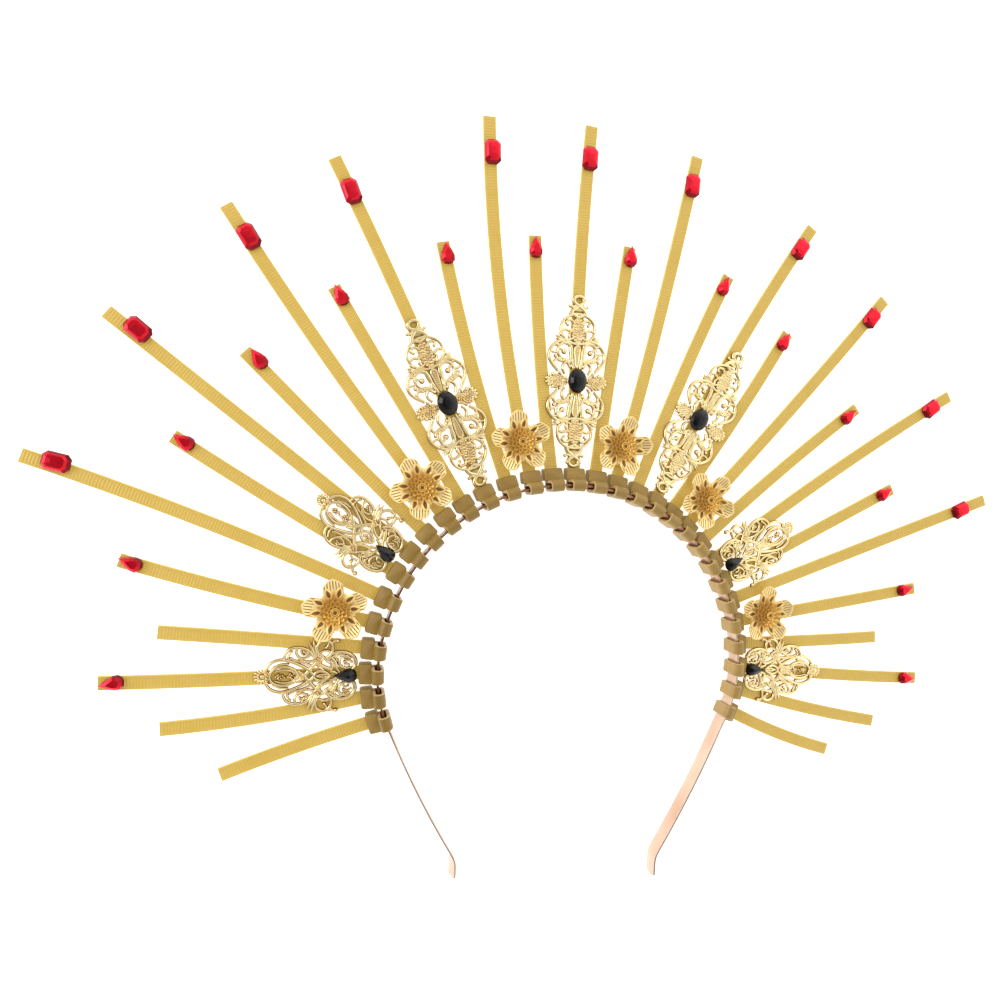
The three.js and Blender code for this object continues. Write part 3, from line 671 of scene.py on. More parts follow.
def head_material(settings):
    """Duller olive-brown nylon of the locking heads, mottled, with painted shade on the sides (tone) and a
    faint painted glow.
    """
    nodes = Nodes("olive_nylon_head")
    mottle = nodes.noise(140.0, 5.0)
    stops = [(0.3, colour(HEAD_DEEP)), (0.55, opaque(settings.head_colour)), (0.8, colour(HEAD_PALE))]
    nylon = nodes.ramp(mottle, stops)
    nodes.base(nodes.mix(nodes.spread(nodes.tone(), 0.0, 0.85), nylon, colour(HEAD_SIDE_SHADE)))
    nodes.roughness(mottle, 0.4, 0.6)
    nodes.bump(nodes.noise(1300.0, 2.0), 0.25, 0.00006)
    # Painted glow that lifts the heads.
    nodes.constants(Specular_IOR_Level=0.4, Emission_Color=HEAD_PAINTED_GLOW, Emission_Strength=0.12)
    return nodes.owner


def band_material(settings):
    """Rose-gold plated steel: brushed along its length, with faint warm stains, greyer cut edges and painted
    shade that darkens the arch towards its left (tone).
    """
    nodes = Nodes("rose_gold_steel")
    brush = nodes.noise(260.0, 3.0, (1.0, 1.0, 7.0))
    stain = nodes.noise(45.0, 2.0)
    # Painted shade from dark brown at the arch's left through copper, then the plating and the greyer cut
    # edge.
    plating = nodes.ramp(nodes.tone(), [(0.0, colour(BAND_SHADE)), (FACE_TONES / 2, colour(BAND_COPPER_SHADE)),
                                        (FACE_TONES, opaque(settings.colour)), (1.0, colour(BAND_CUT))])
    stained = nodes.mix(nodes.spread(stain, 0.0, 0.5, 0.35, 0.75), plating, colour(BAND_STAIN))
    nodes.base(nodes.mix(nodes.spread(nodes.tone(), 0.0, 1.0, FACE_TONES, 1.0), stained, plating))
    nodes.roughness(brush, 0.14, 0.3)
    nodes.bump(brush, 0.12, 0.00004)
    nodes.constants(Metallic=0.6)
    return nodes.owner


def plate_material(settings):
    """Bright plated scrollwork: pale gold on the tops of the wires, with painted shade that makes them
    browner down their sides (tone).
    """
    nodes = Nodes("pale_gold_plating")
    patina = nodes.noise(420.0, 4.0)
    top = nodes.mix(nodes.spread(patina, 0.0, 1.0, 0.35, 0.7), opaque(settings.colour), colour(WIRE_PATINA))
    side = nodes.ramp(nodes.tone(), [(0.0, opaque(settings.shade_colour)), (0.8, colour(WIRE_FLANK_SHADE))])
    nodes.base(nodes.mix(nodes.spread(nodes.tone(), 0.0, 1.0, 0.58, 0.92), side, top))
    nodes.roughness(patina, 0.2, 0.36)
    nodes.bump(patina, 0.15, 0.00005)
    nodes.constants(Metallic=1.0)
    return nodes.owner


def flower_material(settings):
    """Plated petals: pale gold on their ribs, deeper gold towards the heart (tone), and painted shade,
    brown, in the grooves and the gaps.
    """
    nodes = Nodes("warm_gold_petals")
    patina = nodes.noise(380.0, 4.0)
    stops = [(0.0, colour(PETAL_GAP_SHADE)), (0.12, colour(PETAL_GROOVE_SHADE)), (0.3, opaque(settings.heart_colour)),
             (0.6, colour(PETAL_RIB)), (1.0, opaque(settings.rim_colour))]
    gilded_and_shaded = nodes.ramp(nodes.tone(), stops)
    nodes.base(nodes.mix(nodes.spread(patina, 0.0, 0.25, 0.4, 0.8), gilded_and_shaded, colour(PETAL_PATINA)))
    nodes.roughness(patina, 0.22, 0.4)
    nodes.bump(patina, 0.15, 0.00005)
    # Painted glow that lifts the petals.
    nodes.constants(Metallic=0.5, Emission_Color=PETAL_PAINTED_GLOW, Emission_Strength=0.07)
    return nodes.owner


def gem_material(name, dark, middle, light, foil):
    """Cut glass: painted light and shade on its facets (tone), and a faint cloud inside. foil: how much the
    foil behind the glass mirrors, from 0 to 1."""
    nodes = Nodes(name)
    cloud = nodes.noise(260.0, 2.0)
    facet_light_and_shade = nodes.ramp(nodes.tone(), [(0.0, dark), (0.5, middle), (1.0, light)])
    nodes.base(nodes.mix(nodes.spread(cloud, 0.0, 0.25, 0.45, 0.8), facet_light_and_shade, dark))
    nodes.roughness(cloud, 0.08, 0.16)
    nodes.constants(Metallic=foil, Specular_IOR_Level=0.4)
    return nodes.owner


# ------------------------------------------------------------------ the band


def band_radius(degrees):
    """Distance of the strip from the arch's centre: constant, then less by a square past PINCH_START."""
    settings = bpy.context.scene.crown_band
    past = np.maximum(np.abs(degrees) - PINCH_START, 0) / (ARC_END - PINCH_START)
    return settings.radius / MM - PINCH * past**2


def band_point(degrees):
    """Point of the strip's middle line at an angle from the top, clockwise."""
    degrees = np.asarray(degrees, float)
    radius = band_radius(degrees)
    return np.stack([radius * np.sin(np.radians(degrees)), radius * np.cos(np.radians(degrees))], axis=-1)


def band_leg(side):
    """Line of one leg, arch to tip: a chord to the knee that bows out as 4s(1 - s), then straight down."""
    hip = band_point(side * ARC_END)
    knee = np.array([KNEES[side]["x"], KNEES[side]["y"]])
    chord = knee - hip
    outward = np.array([-chord[1], chord[0]]) * side / np.linalg.norm(chord)
    share = np.linspace(0, 1, 60)[1:, None]
    leg = hip + chord * share + outward * LEG_BULGE * 4 * share * (1 - share)
    tip = knee + np.array([0.0, -KNEES[side]["tip"]]) * np.linspace(0, 1, 12)[1:, None]
    return np.vstack([leg, tip])


def band_line():
    """The strip's whole middle line at even steps, with its corners eased by a running mean, taken twice."""
    arch = band_point(np.linspace(-ARC_END, ARC_END, ARCH_POINTS))
    line = np.vstack([band_leg(-1)[::-1], arch, band_leg(1)])
    travelled = distances(line)
    even = np.linspace(0, travelled[-1], BAND_POINTS)
    line = np.column_stack([np.interp(even, travelled, line[:, i]) for i in (0, 1)])
    share = np.ones(EASING) / EASING
    for _ in range(2):
        padded = np.vstack([line[:1].repeat(EASING // 2, 0), line, line[-1:].repeat(EASING // 2, 0)])
        mean = np.column_stack([np.convolve(padded[:, i], share, "valid") for i in (0, 1)])
        line[EASING:-EASING] = mean[EASING:-EASING]
    return line


def rounded_box_profile(half_width, half_height, corner, steps=3):
    """Outline of a rectangle whose corners are quarter circles, anticlockwise."""
    turn = np.radians(np.linspace(0, 90, steps + 1))
    corners = []
    for quarter, (sx, sy) in enumerate([(1, 1), (-1, 1), (-1, -1), (1, -1)]):
        angle = turn + quarter * np.pi / 2
        corners.append(np.column_stack([sx * (half_width - corner) + corner * np.cos(angle),
                                        sy * (half_height - corner) + corner * np.sin(angle)]))
    return np.vstack(corners)


def band_tones(line, on_edge):
    """Tone of each point of each section: painted shade makes the face dark brown at the left of the arch,
    paling to the right and palest on the legs, whose cut edges are greyer still."""
    angle = np.degrees(np.arctan2(line[:, 0], line[:, 1]))
    on_leg = np.clip((np.abs(angle) - LEG_TONES[0]) / LEG_TONES[1], 0, 1)
    face = FACE_TONES * np.clip(np.maximum(0.5 + angle / TONE_TURN, on_leg), 0, 1)
    cut = np.where(angle < 0, *CUT_TONES)
    return face[:, None] + (on_leg * (cut - face))[:, None] * on_edge[None, :]


def band_shape(settings):
    """The strip: a box section with rounded corners along the band's line. Its tips narrow as a circle does,
    and past the left knee it turns about its front edge, by s squared times (3 - 2s)."""
    half = settings.width / MM / 2
    line = band_line()
    path = np.column_stack([line, np.full(len(line), BAND_MIDDLE)])
    up = np.tile([0.0, 0.0, 1.0], (len(path), 1))
    side = np.cross(up, directions(path))
    profile = rounded_box_profile(settings.thickness / MM / 2, half, BAND_CORNER)
    on_edge = np.clip((np.abs(profile[:, 1]) - half) / BAND_CORNER + 1, 0, 1)
    travelled = distances(path)
    to_end = np.minimum(travelled, travelled[-1] - travelled)
    missing = np.clip(TIP_ROUNDING - to_end, 0, TIP_ROUNDING)
    narrow = TIP_ROUNDING - np.sqrt(TIP_ROUNDING**2 - missing**2)
    profile = np.stack([np.broadcast_to(profile[:, 0], (len(path), len(profile))),
                        profile[None, :, 1] * (1 - narrow / half)[:, None]], axis=-1)
    bent = np.clip((KNEES[-1]["y"] + TWIST_START - line[:, 1]) / TWIST_RUN, 0, 1) * (line[:, 0] < 0)
    twist = (np.radians(TIP_TWIST) * bent**2 * (3 - 2 * bent))[:, None]
    path = path + side * np.sin(twist) * half
    side, up = side * np.cos(twist) + up * np.sin(twist), up * np.cos(twist) - side * np.sin(twist)
    shape = Shape()
    sweep(shape, path, side, up, profile, tone=band_tones(line, on_edge))
    return shape


class CrownBandSettings(bpy.types.PropertyGroup):
    """Sizes and plating of the band"""

    radius: bpy.props.FloatProperty(
        name="Arch radius", description="From the centre of the arch to the middle of the strip",
        default=0.0711, min=0.05, max=0.1, unit="LENGTH")
    thickness: bpy.props.FloatProperty(
        name="Thickness", description="Thickness of the steel strip", default=0.0007, min=0.0003,
        max=0.002, unit="LENGTH")
    width: bpy.props.FloatProperty(
        name="Width", description="Width of the steel strip", default=0.0068, min=0.003, max=0.012,
        unit="LENGTH")
    colour: bpy.props.FloatVectorProperty(
        name="Plating", description="Colour of the rose-gold plating", default=tint("d6bba4"),
        subtype="COLOR", **RGB)


class CROWN_OT_add_band(bpy.types.Operator):
    """Add the flat rose-gold strip that goes over the head"""

    bl_idname = "crown.add_band"
    bl_label = "Add band"
    bl_options = {"REGISTER", "UNDO"}

    def execute(self, context):
        settings = context.scene.crown_band
        shape = band_shape(settings)
        new_piece("steel_band", shape, band_material(settings), ["headband"], sharp=50)
        return {"FINISHED"}


# ------------------------------------------------------------------ locking straps


def strap_section(settings):
    """Section of the strap, anticlockwise from its right back edge: how far each point is across and up,
    whether it sinks between the ribs, and its tone on the ray and on the curl: painted shade on the ray's
    sides, rails and back, and a painted highlight along the curl's edges."""
    half = settings.width / MM / 2
    thick = settings.thickness / MM / 2
    rail = half - settings.rail_width / MM
    right = np.array([
        # across, up, sinks, ray's tone (painted shade), curl's tone (painted highlight)
        (half, BACK_CORNER - thick, 0, 0.9, 1),
        (half, thick - FRONT_CORNER_DOWN, 0, 0.9, 1),
        (half - FRONT_CORNER_IN, thick, 0, 0.6, 1),
        (rail, thick, 0, 0.5, 0),
        (rail - GROOVE_FLANK, thick, 1, 0, 0),
        (GROOVE_MIDDLE, thick, 1, 0, 0),
    ])
    left = right[::-1] * (-1, 1, 1, 1, 1)
    back = [(BACK_CORNER - half, -thick, 0, 0.5, 0), (half - BACK_CORNER, -thick, 0, 0.5, 0)]
    return np.vstack([right, left, back]).T


def loop_line():
    """Side view of the curl (out, front): up in front of the band, a half circle over it, down behind it,
    a quarter circle round its back edge and a gentle rise to the strap's own height."""
    over = np.radians(np.linspace(0, 180, 17))
    front = np.column_stack([LOOP_SHIFT + LOOP_RADIUS * np.cos(over), LOOP_TOP + LOOP_RADIUS * np.sin(over)])
    rise = np.column_stack([np.full(5, LOOP_SHIFT + LOOP_RADIUS), np.linspace(LOOP_START, LOOP_TOP, 6)[:-1]])
    under = np.radians(np.linspace(180, 270, 9))
    turn_y = LOOP_SHIFT - LOOP_RADIUS + LOOP_CORNER
    turn_z = LOOP_BACK + LOOP_CORNER
    back = np.column_stack([turn_y + LOOP_CORNER * np.cos(under), turn_z + LOOP_CORNER * np.sin(under)])
    down = np.column_stack([np.full(5, LOOP_SHIFT - LOOP_RADIUS), np.linspace(LOOP_TOP, turn_z, 7)[1:-1]])
    ease = np.linspace(0, 1, 7)[1:]
    out = np.column_stack([turn_y + (LOOP_END - turn_y) * ease,
                           LOOP_BACK + (STRAP_MIDDLE - LOOP_BACK) * ease**2 * (3 - 2 * ease)])
    return np.vstack([rise, front, down, back, out])


def bow_at(tie, share):
    """Sideways bend of the strap: 4s(1 - s) times its bow, s running from the head to the cut end."""
    share = np.clip(share, 0, 1)
    return tie["bow"] * 4 * share * (1 - share)


def strap_shape(settings, tie):
    """One strap: the curl round the band, then the ray, whose front dips between evenly spaced ribs.
    Gives the shape and how many of its first points are the curl's."""
    loop = loop_line()
    pitch = settings.rib_pitch / MM
    end = HEAD_OUTER + tie["strap"]
    ribs = int((end - PLAIN_START) / pitch)
    out = (end - ribs * pitch + (np.arange(ribs)[:, None] + RIB_PHASES) * pitch).ravel()
    out = np.append(out, end)
    deep = np.append(np.tile(RIB_DEPTHS, ribs), 0.0)
    bend = bow_at(tie, (out - HEAD_OUTER) / tie["strap"])
    ray = np.column_stack([bend, out, np.full(len(out), STRAP_MIDDLE)])
    path = np.vstack([np.column_stack([np.zeros(len(loop)), loop]), ray])
    sunk = np.concatenate([np.zeros(len(loop)), deep])
    groove = sunk * settings.rib_depth / MM
    across, up, sinks, ray_painted_shade, curl_painted_highlight = strap_section(settings)
    section = np.stack([np.broadcast_to(across, (len(path), len(across))),
                        up - sinks * groove[:, None]], axis=-1)
    flare = LOOP_FLARE * np.clip(1 - distances(loop) / FLARE_RUN, 0, 1) ** 0.7
    section[:len(loop), :, 0] *= (1 + flare / (settings.width / MM / 2))[:, None]
    along = directions(path)
    side = np.array([[-1.0, 0.0, 0.0]]) + along * along[:, :1]
    side /= np.linalg.norm(side, axis=1, keepdims=True)
    curled = np.arange(len(path)) < len(loop) - CURL_OVERLAP
    # Painted shade in the rib valleys and on the ray's sides, painted highlight along the curl's edges.
    tone = np.where(curled[:, None], curl_painted_highlight, np.maximum(sinks * sunk[:, None], ray_painted_shade))
    shape = Shape()
    sweep(shape, path, side, np.cross(along, side), section, tone=tone)
    return shape, curled.sum() * len(across)


def head_shape():
    """A locking head: outlines with rounded corners, level up its sides and then along its slanting front,
    and narrower at the back."""
    slope = (HEAD_FRONT_OUTER - HEAD_FRONT_INNER) / (HEAD_OUTER - HEAD_INNER)
    middle = (HEAD_OUTER + HEAD_INNER) / 2
    # tone: painted shade, strong on the sides, less at the front's rim and none on the front.
    rows = table(
        "inset taper on_front height tone",     # taper: share of HEAD_TAPER. height: from the back or front
        (0.45, 1.0, 0, 0.0, 0.75),
        (0.12, 1.0, 0, 0.14, 0.75),
        (0.0, 1.0, 0, 0.5, 0.75),
        (0.0, 0.35, 0, 2.0, 0.75),
        (0.0, 0.0, 0, HEAD_TAPER_END, 0.75),
        (0.0, 0.0, 1, -0.6, 0.45),
        (0.1, 0.0, 1, -0.2, 0.0),
        (0.42, 0.0, 1, 0.0, 0.0),
    )
    rings = []
    for row in rows:
        inset = row["inset"]
        half_width = HEAD_WIDTH / 2 - HEAD_TAPER * row["taper"] - inset
        half_height = (HEAD_OUTER - HEAD_INNER) / 2 - inset
        corner = max(HEAD_CORNER - inset, HEAD_LEAST_CORNER)
        outline = rounded_box_profile(half_width, half_height, corner, 4)
        ys = outline[:, 1] + middle
        front = HEAD_FRONT_INNER + slope * (ys - HEAD_INNER)
        rings.append(np.column_stack([outline[:, 0], ys, front * row["on_front"] + row["height"]]))
    count = len(rings[0])
    shape = Shape()
    tones = np.repeat([row["tone"] for row in rows], count)
    shape.add(np.vstack(rings), capped_tube(len(rows), count), tones)
    return shape


def on_band(shape, tie):
    """Puts a shape made in a tie's own frame on its place on the arch."""
    foot = band_point(tie["at"])
    return shape.placed(foot[0], foot[1], tie["at"] + tie["lean"])


class CrownStrapSettings(bpy.types.PropertyGroup):
    """Sizes and colours of the straps"""

    width: bpy.props.FloatProperty(
        name="Width", description="Width of a strap", default=0.0048, min=0.002, max=0.008, unit="LENGTH")
    thickness: bpy.props.FloatProperty(
        name="Thickness", description="Thickness of a strap", default=0.00125, min=0.0006, max=0.003,
        unit="LENGTH")
    rail_width: bpy.props.FloatProperty(
        name="Rail width", description="Width of the smooth rail on each side of the ribs",
        default=0.00055, min=0.0002, max=0.0015, unit="LENGTH")
    rib_pitch: bpy.props.FloatProperty(
        name="Rib pitch", description="Distance from one rib to the next", default=0.00104, min=0.0006,
        max=0.003, unit="LENGTH")
    rib_depth: bpy.props.FloatProperty(
        name="Rib depth", description="How far the strap dips between its ribs", default=0.00011,
        min=0.0, max=0.0008, unit="LENGTH")
    colour: bpy.props.FloatVectorProperty(
        name="Strap colour", description="Colour of the nylon", default=tint("c2aa5a"), subtype="COLOR",
        **RGB)
    # Painted shade between the ribs and on the strap's sides.
    groove_shade_colour: bpy.props.FloatVectorProperty(
        name="Groove colour", description="Colour between the ribs", default=tint("ba9c46"),
        subtype="COLOR", **RGB)
    curl_colour: bpy.props.FloatVectorProperty(
        name="Curl colour", description="Colour of the strap where it curls round the band",
        default=tint("aa8a48"), subtype="COLOR", **RGB)
    head_colour: bpy.props.FloatVectorProperty(
        name="Head colour", description="Colour of the locking heads", default=tint("86693a"),
        subtype="COLOR", **RGB)


class CROWN_OT_add_straps(bpy.types.Operator):
    """Add the ribbed straps that curl round the band and stand out as rays"""

    bl_idname = "crown.add_straps"
    bl_label = "Add straps"
    bl_options = {"REGISTER", "UNDO"}

    def execute(self, context):
        settings = context.scene.crown_strap
        material = strap_material(settings)
        duller = curl_material(settings)
        for number, tie in enumerate(TIES, 1):
            shape, curl_points = strap_shape(settings, tie)
            piece = new_piece(f"ribbed_strap_{number:02d}", on_band(shape, tie), material,
                              [f"tie_{number:02d}"], sharp=40)
            piece.data.materials.append(duller)
            first_corner = np.concatenate([face[:, 0] for face in shape.faces])
            piece.data.polygons.foreach_set("material_index", (first_corner < curl_points).astype(np.int32))
        return {"FINISHED"}


class CROWN_OT_add_heads(bpy.types.Operator):
    """Add the locking head of each strap"""

    bl_idname = "crown.add_heads"
    bl_label = "Add locking heads"
    bl_options = {"REGISTER", "UNDO"}

    def execute(self, context):
        material = head_material(context.scene.crown_strap)
        for number, tie in enumerate(TIES, 1):
            shape = on_band(head_shape(), tie)
            new_piece(f"locking_head_{number:02d}", shape, material, [f"tie_{number:02d}"], sharp=45)
        return {"FINISHED"}


# ------------------------------------------------------------------ stones


OBLONG_CORNER = 1.4
# Levels of the stones, back to front: share of the outline, height, and the tones of the facets above it
# that are turned from the light and to it.
OBLONG_LEVELS = [
    (0.9, 0.0, (0.0, 0.1)), (1.0, 0.35, (0.0, 0.12)), (1.0, 0.9, (0.02, 0.25)), (0.8, 1.9, (0.3, 0.6)),
    (0.62, 2.35, (0.42, 0.6)), (0.26, 2.48, (0.48, 0.56)),
]
DROP_LEVELS = [
    (0.9, 0.0, (0.0, 0.1)), (1.0, 0.3, (0.0, 0.12)), (1.0, 0.7, (0.02, 0.25)), (0.86, 1.6, (0.15, 0.5)),
    (0.5, 2.4, (0.42, 0.58)),
]
OVAL_LEVELS = [
    (0.94, 0.0, (0.0, 0.1)), (1.0, 0.3, (0.0, 0.2)), (1.0, 0.8, (0.0, 0.5)), (0.84, 1.7, (0.0, 0.6)),
    (0.56, 2.35, (0.1, 0.6)), (0.28, 2.6, (0.3, 0.5)),
]
BLACK_DROP_LEVELS = [
    (0.92, 0.0, (0.0, 0.1)), (1.0, 0.3, (0.0, 0.2)), (1.0, 0.8, (0.0, 0.6)), (0.8, 1.8, (0.1, 0.9)),
    (0.24, 2.7, (0.3, 0.5)),
]
STONE_LIGHT = 150.0          # degrees from +X to where a stone's facets are brightest
DROP_HEART = (0.0, -1.2)     # where the facets of a drop meet, from its middle
FAN_DROP_PLACE = 4.0         # middle of the black drop, along the fan
FAN_DROP_BACK = 5.7
OVAL_SIDES, FAN_DROP_SIDES = 20, 18


def cut_stone(outline, centre, levels, base):
    """A cut stone: copies of an outline, each drawn in towards a centre, joined by flat facets. A facet's
    tone, painted light and shade, runs between its level's two numbers as the cosine of the angle from the
    upper left, where the painted light is brightest."""
    count = len(outline)
    centre = np.array(centre)
    rings = [np.column_stack([centre + (outline - centre) * share, np.full(count, base + height)])
             for share, height, _ in levels]
    shape = Shape()
    for lower, upper, (_, _, (low, high)) in zip(rings, rings[1:], levels):
        quads = np.stack([lower, np.roll(lower, -1, 0), np.roll(upper, -1, 0), upper], axis=1)
        middle = quads[..., :2].mean(axis=1) - centre
        facing = 0.5 + 0.5 * np.cos(np.arctan2(middle[:, 1], middle[:, 0]) - math.radians(STONE_LIGHT))
        shape.add(quads.reshape(-1, 3), [np.arange(4 * count).reshape(-1, 4)],
                  np.repeat(low + (high - low) * facing, 4))
    shape.add(rings[-1], [np.arange(count)[None, :]], np.linspace(*levels[-1][2], count))
    shape.add(rings[0], [np.arange(count)[::-1][None, :]], 0.0)
    return shape


def drop_outline(width, length, count=14):
    """A drop: the height is a sine, the half width a cosine times (1 - sine) to the power 0.75."""
    angle = 2 * np.pi * np.arange(count) / count + np.pi / 2
    reach = np.cos(angle) * (1 - np.sin(angle)) ** 0.75
    return np.column_stack([reach * width / 2 / reach.max(), length / 2 * np.sin(angle)])


def oblong_outline(width, length, corner):
    """A rectangle with cut corners, anticlockwise."""
    x, y = width / 2, length / 2
    right = np.array([(x, corner - y), (x, y - corner), (x - corner, y)])
    left = right * (-1, 1)
    return np.vstack([right, left[::-1], [(corner - x, -y), (x - corner, -y)]])


def stone_seat(tie):
    """Where a stone sits in the tie's own frame, and its turn: on the bow, near the cut end."""
    share = 1 - tie["inset"] / tie["strap"]
    slope = tie["bow"] * 4 * (1 - 2 * share) / tie["strap"]
    turn = tie["turn"] + math.degrees(math.atan(slope))
    return bow_at(tie, share) + tie["side"], HEAD_OUTER + tie["strap"] * share, turn


class CrownStoneSettings(bpy.types.PropertyGroup):
    """Sizes and reds of the stones"""

    oblong_width: bpy.props.FloatProperty(
        name="Oblong width", description="Width of the oblong red stones", default=0.0062, unit="LENGTH")
    oblong_length: bpy.props.FloatProperty(
        name="Oblong length", description="Length of the oblong red stones", default=0.0089, unit="LENGTH")
    drop_width: bpy.props.FloatProperty(
        name="Drop width", description="Width of the red drops", default=0.0051, unit="LENGTH")
    drop_length: bpy.props.FloatProperty(
        name="Drop length", description="Length of the red drops", default=0.0084, unit="LENGTH")
    oval_width: bpy.props.FloatProperty(
        name="Oval width", description="Width of the black ovals", default=0.0073, unit="LENGTH")
    oval_length: bpy.props.FloatProperty(
        name="Oval length", description="Length of the black ovals", default=0.0092, unit="LENGTH")
    black_drop_width: bpy.props.FloatProperty(
        name="Black drop width", description="Width of the black drops", default=0.0051, unit="LENGTH")
    black_drop_length: bpy.props.FloatProperty(
        name="Black drop length", description="Length of the black drops", default=0.0086, unit="LENGTH")
    red_dark: bpy.props.FloatVectorProperty(
        name="Red, deep", description="Red of the facets turned from the light", default=tint("4a0610"),
        subtype="COLOR", **RGB)
    red: bpy.props.FloatVectorProperty(
        name="Red", description="Red of the stones' tables", default=tint("fa1c32"), subtype="COLOR", **RGB)
    red_light: bpy.props.FloatVectorProperty(
        name="Red, bright", description="Red of the facets that catch the light", default=tint("ff4054"),
        subtype="COLOR", **RGB)


class CROWN_OT_add_red_stones(bpy.types.Operator):
    """Add the oblong stones of the long rays and the drops of the short ones"""

    bl_idname = "crown.add_red_stones"
    bl_label = "Add red stones"
    bl_options = {"REGISTER", "UNDO"}

    def execute(self, context):
        settings = context.scene.crown_stone
        material = gem_material("red_glass", opaque(settings.red_dark), opaque(settings.red),
                                opaque(settings.red_light), foil=0.7)
        oblong = oblong_outline(settings.oblong_width / MM, settings.oblong_length / MM, OBLONG_CORNER)
        drop = drop_outline(settings.drop_width / MM, settings.drop_length / MM)
        for number, tie in enumerate(TIES, 1):
            if "stone" not in tie:
                continue
            x, y, turn = stone_seat(tie)
            if tie["stone"] == "oblong":
                shape = cut_stone(oblong, (0.0, 0.0), OBLONG_LEVELS, STONE_BACK)
                name, nodes = f"red_oblong_{number:02d}", [f"oblong_stone_{number:02d}"]
            else:
                shape = cut_stone(drop, DROP_HEART, DROP_LEVELS, STONE_BACK)
                name, nodes = f"red_drop_{number:02d}", [f"tie_{number:02d}"]
            placed = on_band(shape.placed(x, y, turn), tie)
            new_piece(name, placed, material, nodes, smooth=False)
        return {"FINISHED"}


class CROWN_OT_add_black_stones(bpy.types.Operator):
    """Add the black ovals of the lozenges and the black drops of the fans"""

    bl_idname = "crown.add_black_stones"
    bl_label = "Add black stones"
    bl_options = {"REGISTER", "UNDO"}

    def execute(self, context):
        settings = context.scene.crown_stone
        material = gem_material("black_glass", *[colour(code) for code in BLACK_GLASS], foil=0.0)
        oval = oval_line(0.0, settings.oval_width / MM / 2, settings.oval_length / MM / 2, OVAL_SIDES)
        for spot in LOZENGES:
            shape = cut_stone(oval, (0.0, 0.0), OVAL_LEVELS, OVAL_BACK).placed(spot["shift"], 0.0, 0.0)
            new_piece(f"black_oval_{spot['name']}", shape.at_spot(spot), material,
                      [f"oval_stone_{spot['name']}"], smooth=False)
        drop = drop_outline(settings.black_drop_width / MM, settings.black_drop_length / MM, FAN_DROP_SIDES)
        for spot in FANS:
            shape = cut_stone(drop, DROP_HEART, BLACK_DROP_LEVELS, FAN_DROP_BACK)
            placed = shape.placed(0.0, FAN_DROP_PLACE, 0.0).at_spot(spot)
            new_piece(f"black_drop_{spot['name']}", placed, material,
                      [f"fan_plate_{spot['name']}"], smooth=False)
        return {"FINISHED"}


# ------------------------------------------------------------------ scrollwork plates


WIRE_SPREAD = 1.25         # wires are this much wider than their tables say
WIRE_THINNING = 0.2
WEB_TONE = 0.84
SIDE_SHADE = 0.0012        # painted shade: how much paler a plate is for each millimetre to the right
# Heights of a plate's parts as shares of its wires'.
WEB_RISE, LEAF_RISE, NUGGET_RISE, BEAD_RISE, CREST_RISE = 0.8, 1.1, 1.2, 1.3, 1.5
BEAD_STEP = 1.7            # from one bead of a row to the next, as a share of their radius
BAR_BEADS = {"from": 12.9, "to": 5.2, "radius": 0.45}      # along the lozenge's axis, at both ends
# The teeth of a fan's crest. spread: degrees to each side. foot, reach: from the crest's own foot.
CREST_TEETH = {"spread": 105, "count": 9, "foot": 0.9, "reach": 2.5, "longer": 0.6, "half": 0.5}
CREST_BEAD = 1.15
QUARTERS = [(1, 1), (-1, 1), (-1, -1), (1, -1)]
HALVES = QUARTERS[:2]


class CrownPlateSettings(bpy.types.PropertyGroup):
    """Wires of the scrollwork"""

    wire_height: bpy.props.FloatProperty(
        name="Wire height", description="How far the scrolls stand up from the back of a plate",
        default=0.0009, min=0.0005, max=0.003, unit="LENGTH")
    colour: bpy.props.FloatVectorProperty(
        name="Plating", description="Colour of the bright plating", default=tint("fff0be"),
        subtype="COLOR", **RGB)
    # Painted shade at the feet of the wires, deep between the scrolls.
    shade_colour: bpy.props.FloatVectorProperty(
        name="Gaps", description="Colour deep between the scrolls", default=tint("64400e"),
        subtype="COLOR", **RGB)


def add_web(shape, web, flip, height):
    """A flat oval web that joins the scrolls: cosine across, sine along, straight sides."""
    line = oval_line(web["along"] * flip[1], web["across"], web["up"], 20) + (web["side"] * flip[0], 0.0)
    count = len(line)
    rings = [np.column_stack([line, np.full(count, PLATE_BACK + rise)]) for rise in (0.0, height * WEB_RISE)]
    # Painted shade on the web's sides: tone 0 at its foot, WEB_TONE on its top.
    shape.add(np.vstack(rings), capped_tube(2, count), np.repeat([0.0, WEB_TONE], count))


def bead_row(shape, line, radius, height):
    """Beads at equal steps along a line, a little less than their own width apart."""
    travelled = distances(line)
    count = max(int(travelled[-1] / (BEAD_STEP * radius)), 2)
    even = np.linspace(0, travelled[-1], count)
    for x, y in zip(np.interp(even, travelled, line[:, 0]), np.interp(even, travelled, line[:, 1])):
        dome(shape, x, y, radius, height * BEAD_RISE, PLATE_BACK, 6)


def add_scroll(shape, scroll, flips, height):
    """One scroll and its mirror images: a smooth wire that thins to its end, with a knob there and beads."""
    line = smooth_line(scroll["path"])
    thin = 1 - WIRE_THINNING * np.linspace(0, 1, len(line)) ** 2
    for flip in flips:
        turned = line * flip
        wire(shape, turned, scroll["width"] * WIRE_SPREAD * thin, height, PLATE_BACK)
        if scroll["knob"]:
            dome(shape, *turned[-1], scroll["knob"], height * BEAD_RISE, PLATE_BACK, 10)
        if scroll["beads"]:
            bead_row(shape, turned, scroll["beads"], height)


def add_leaves(shape, leaves, flips, height):
    """Pointed leaves and their mirror images."""
    for spot in leaves:
        for flip in flips:
            foot = np.multiply(spot["foot"], flip)
            tip = np.multiply(spot["tip"], flip)
            leaf(shape, foot, tip, spot["half"], height * LEAF_RISE, PLATE_BACK)


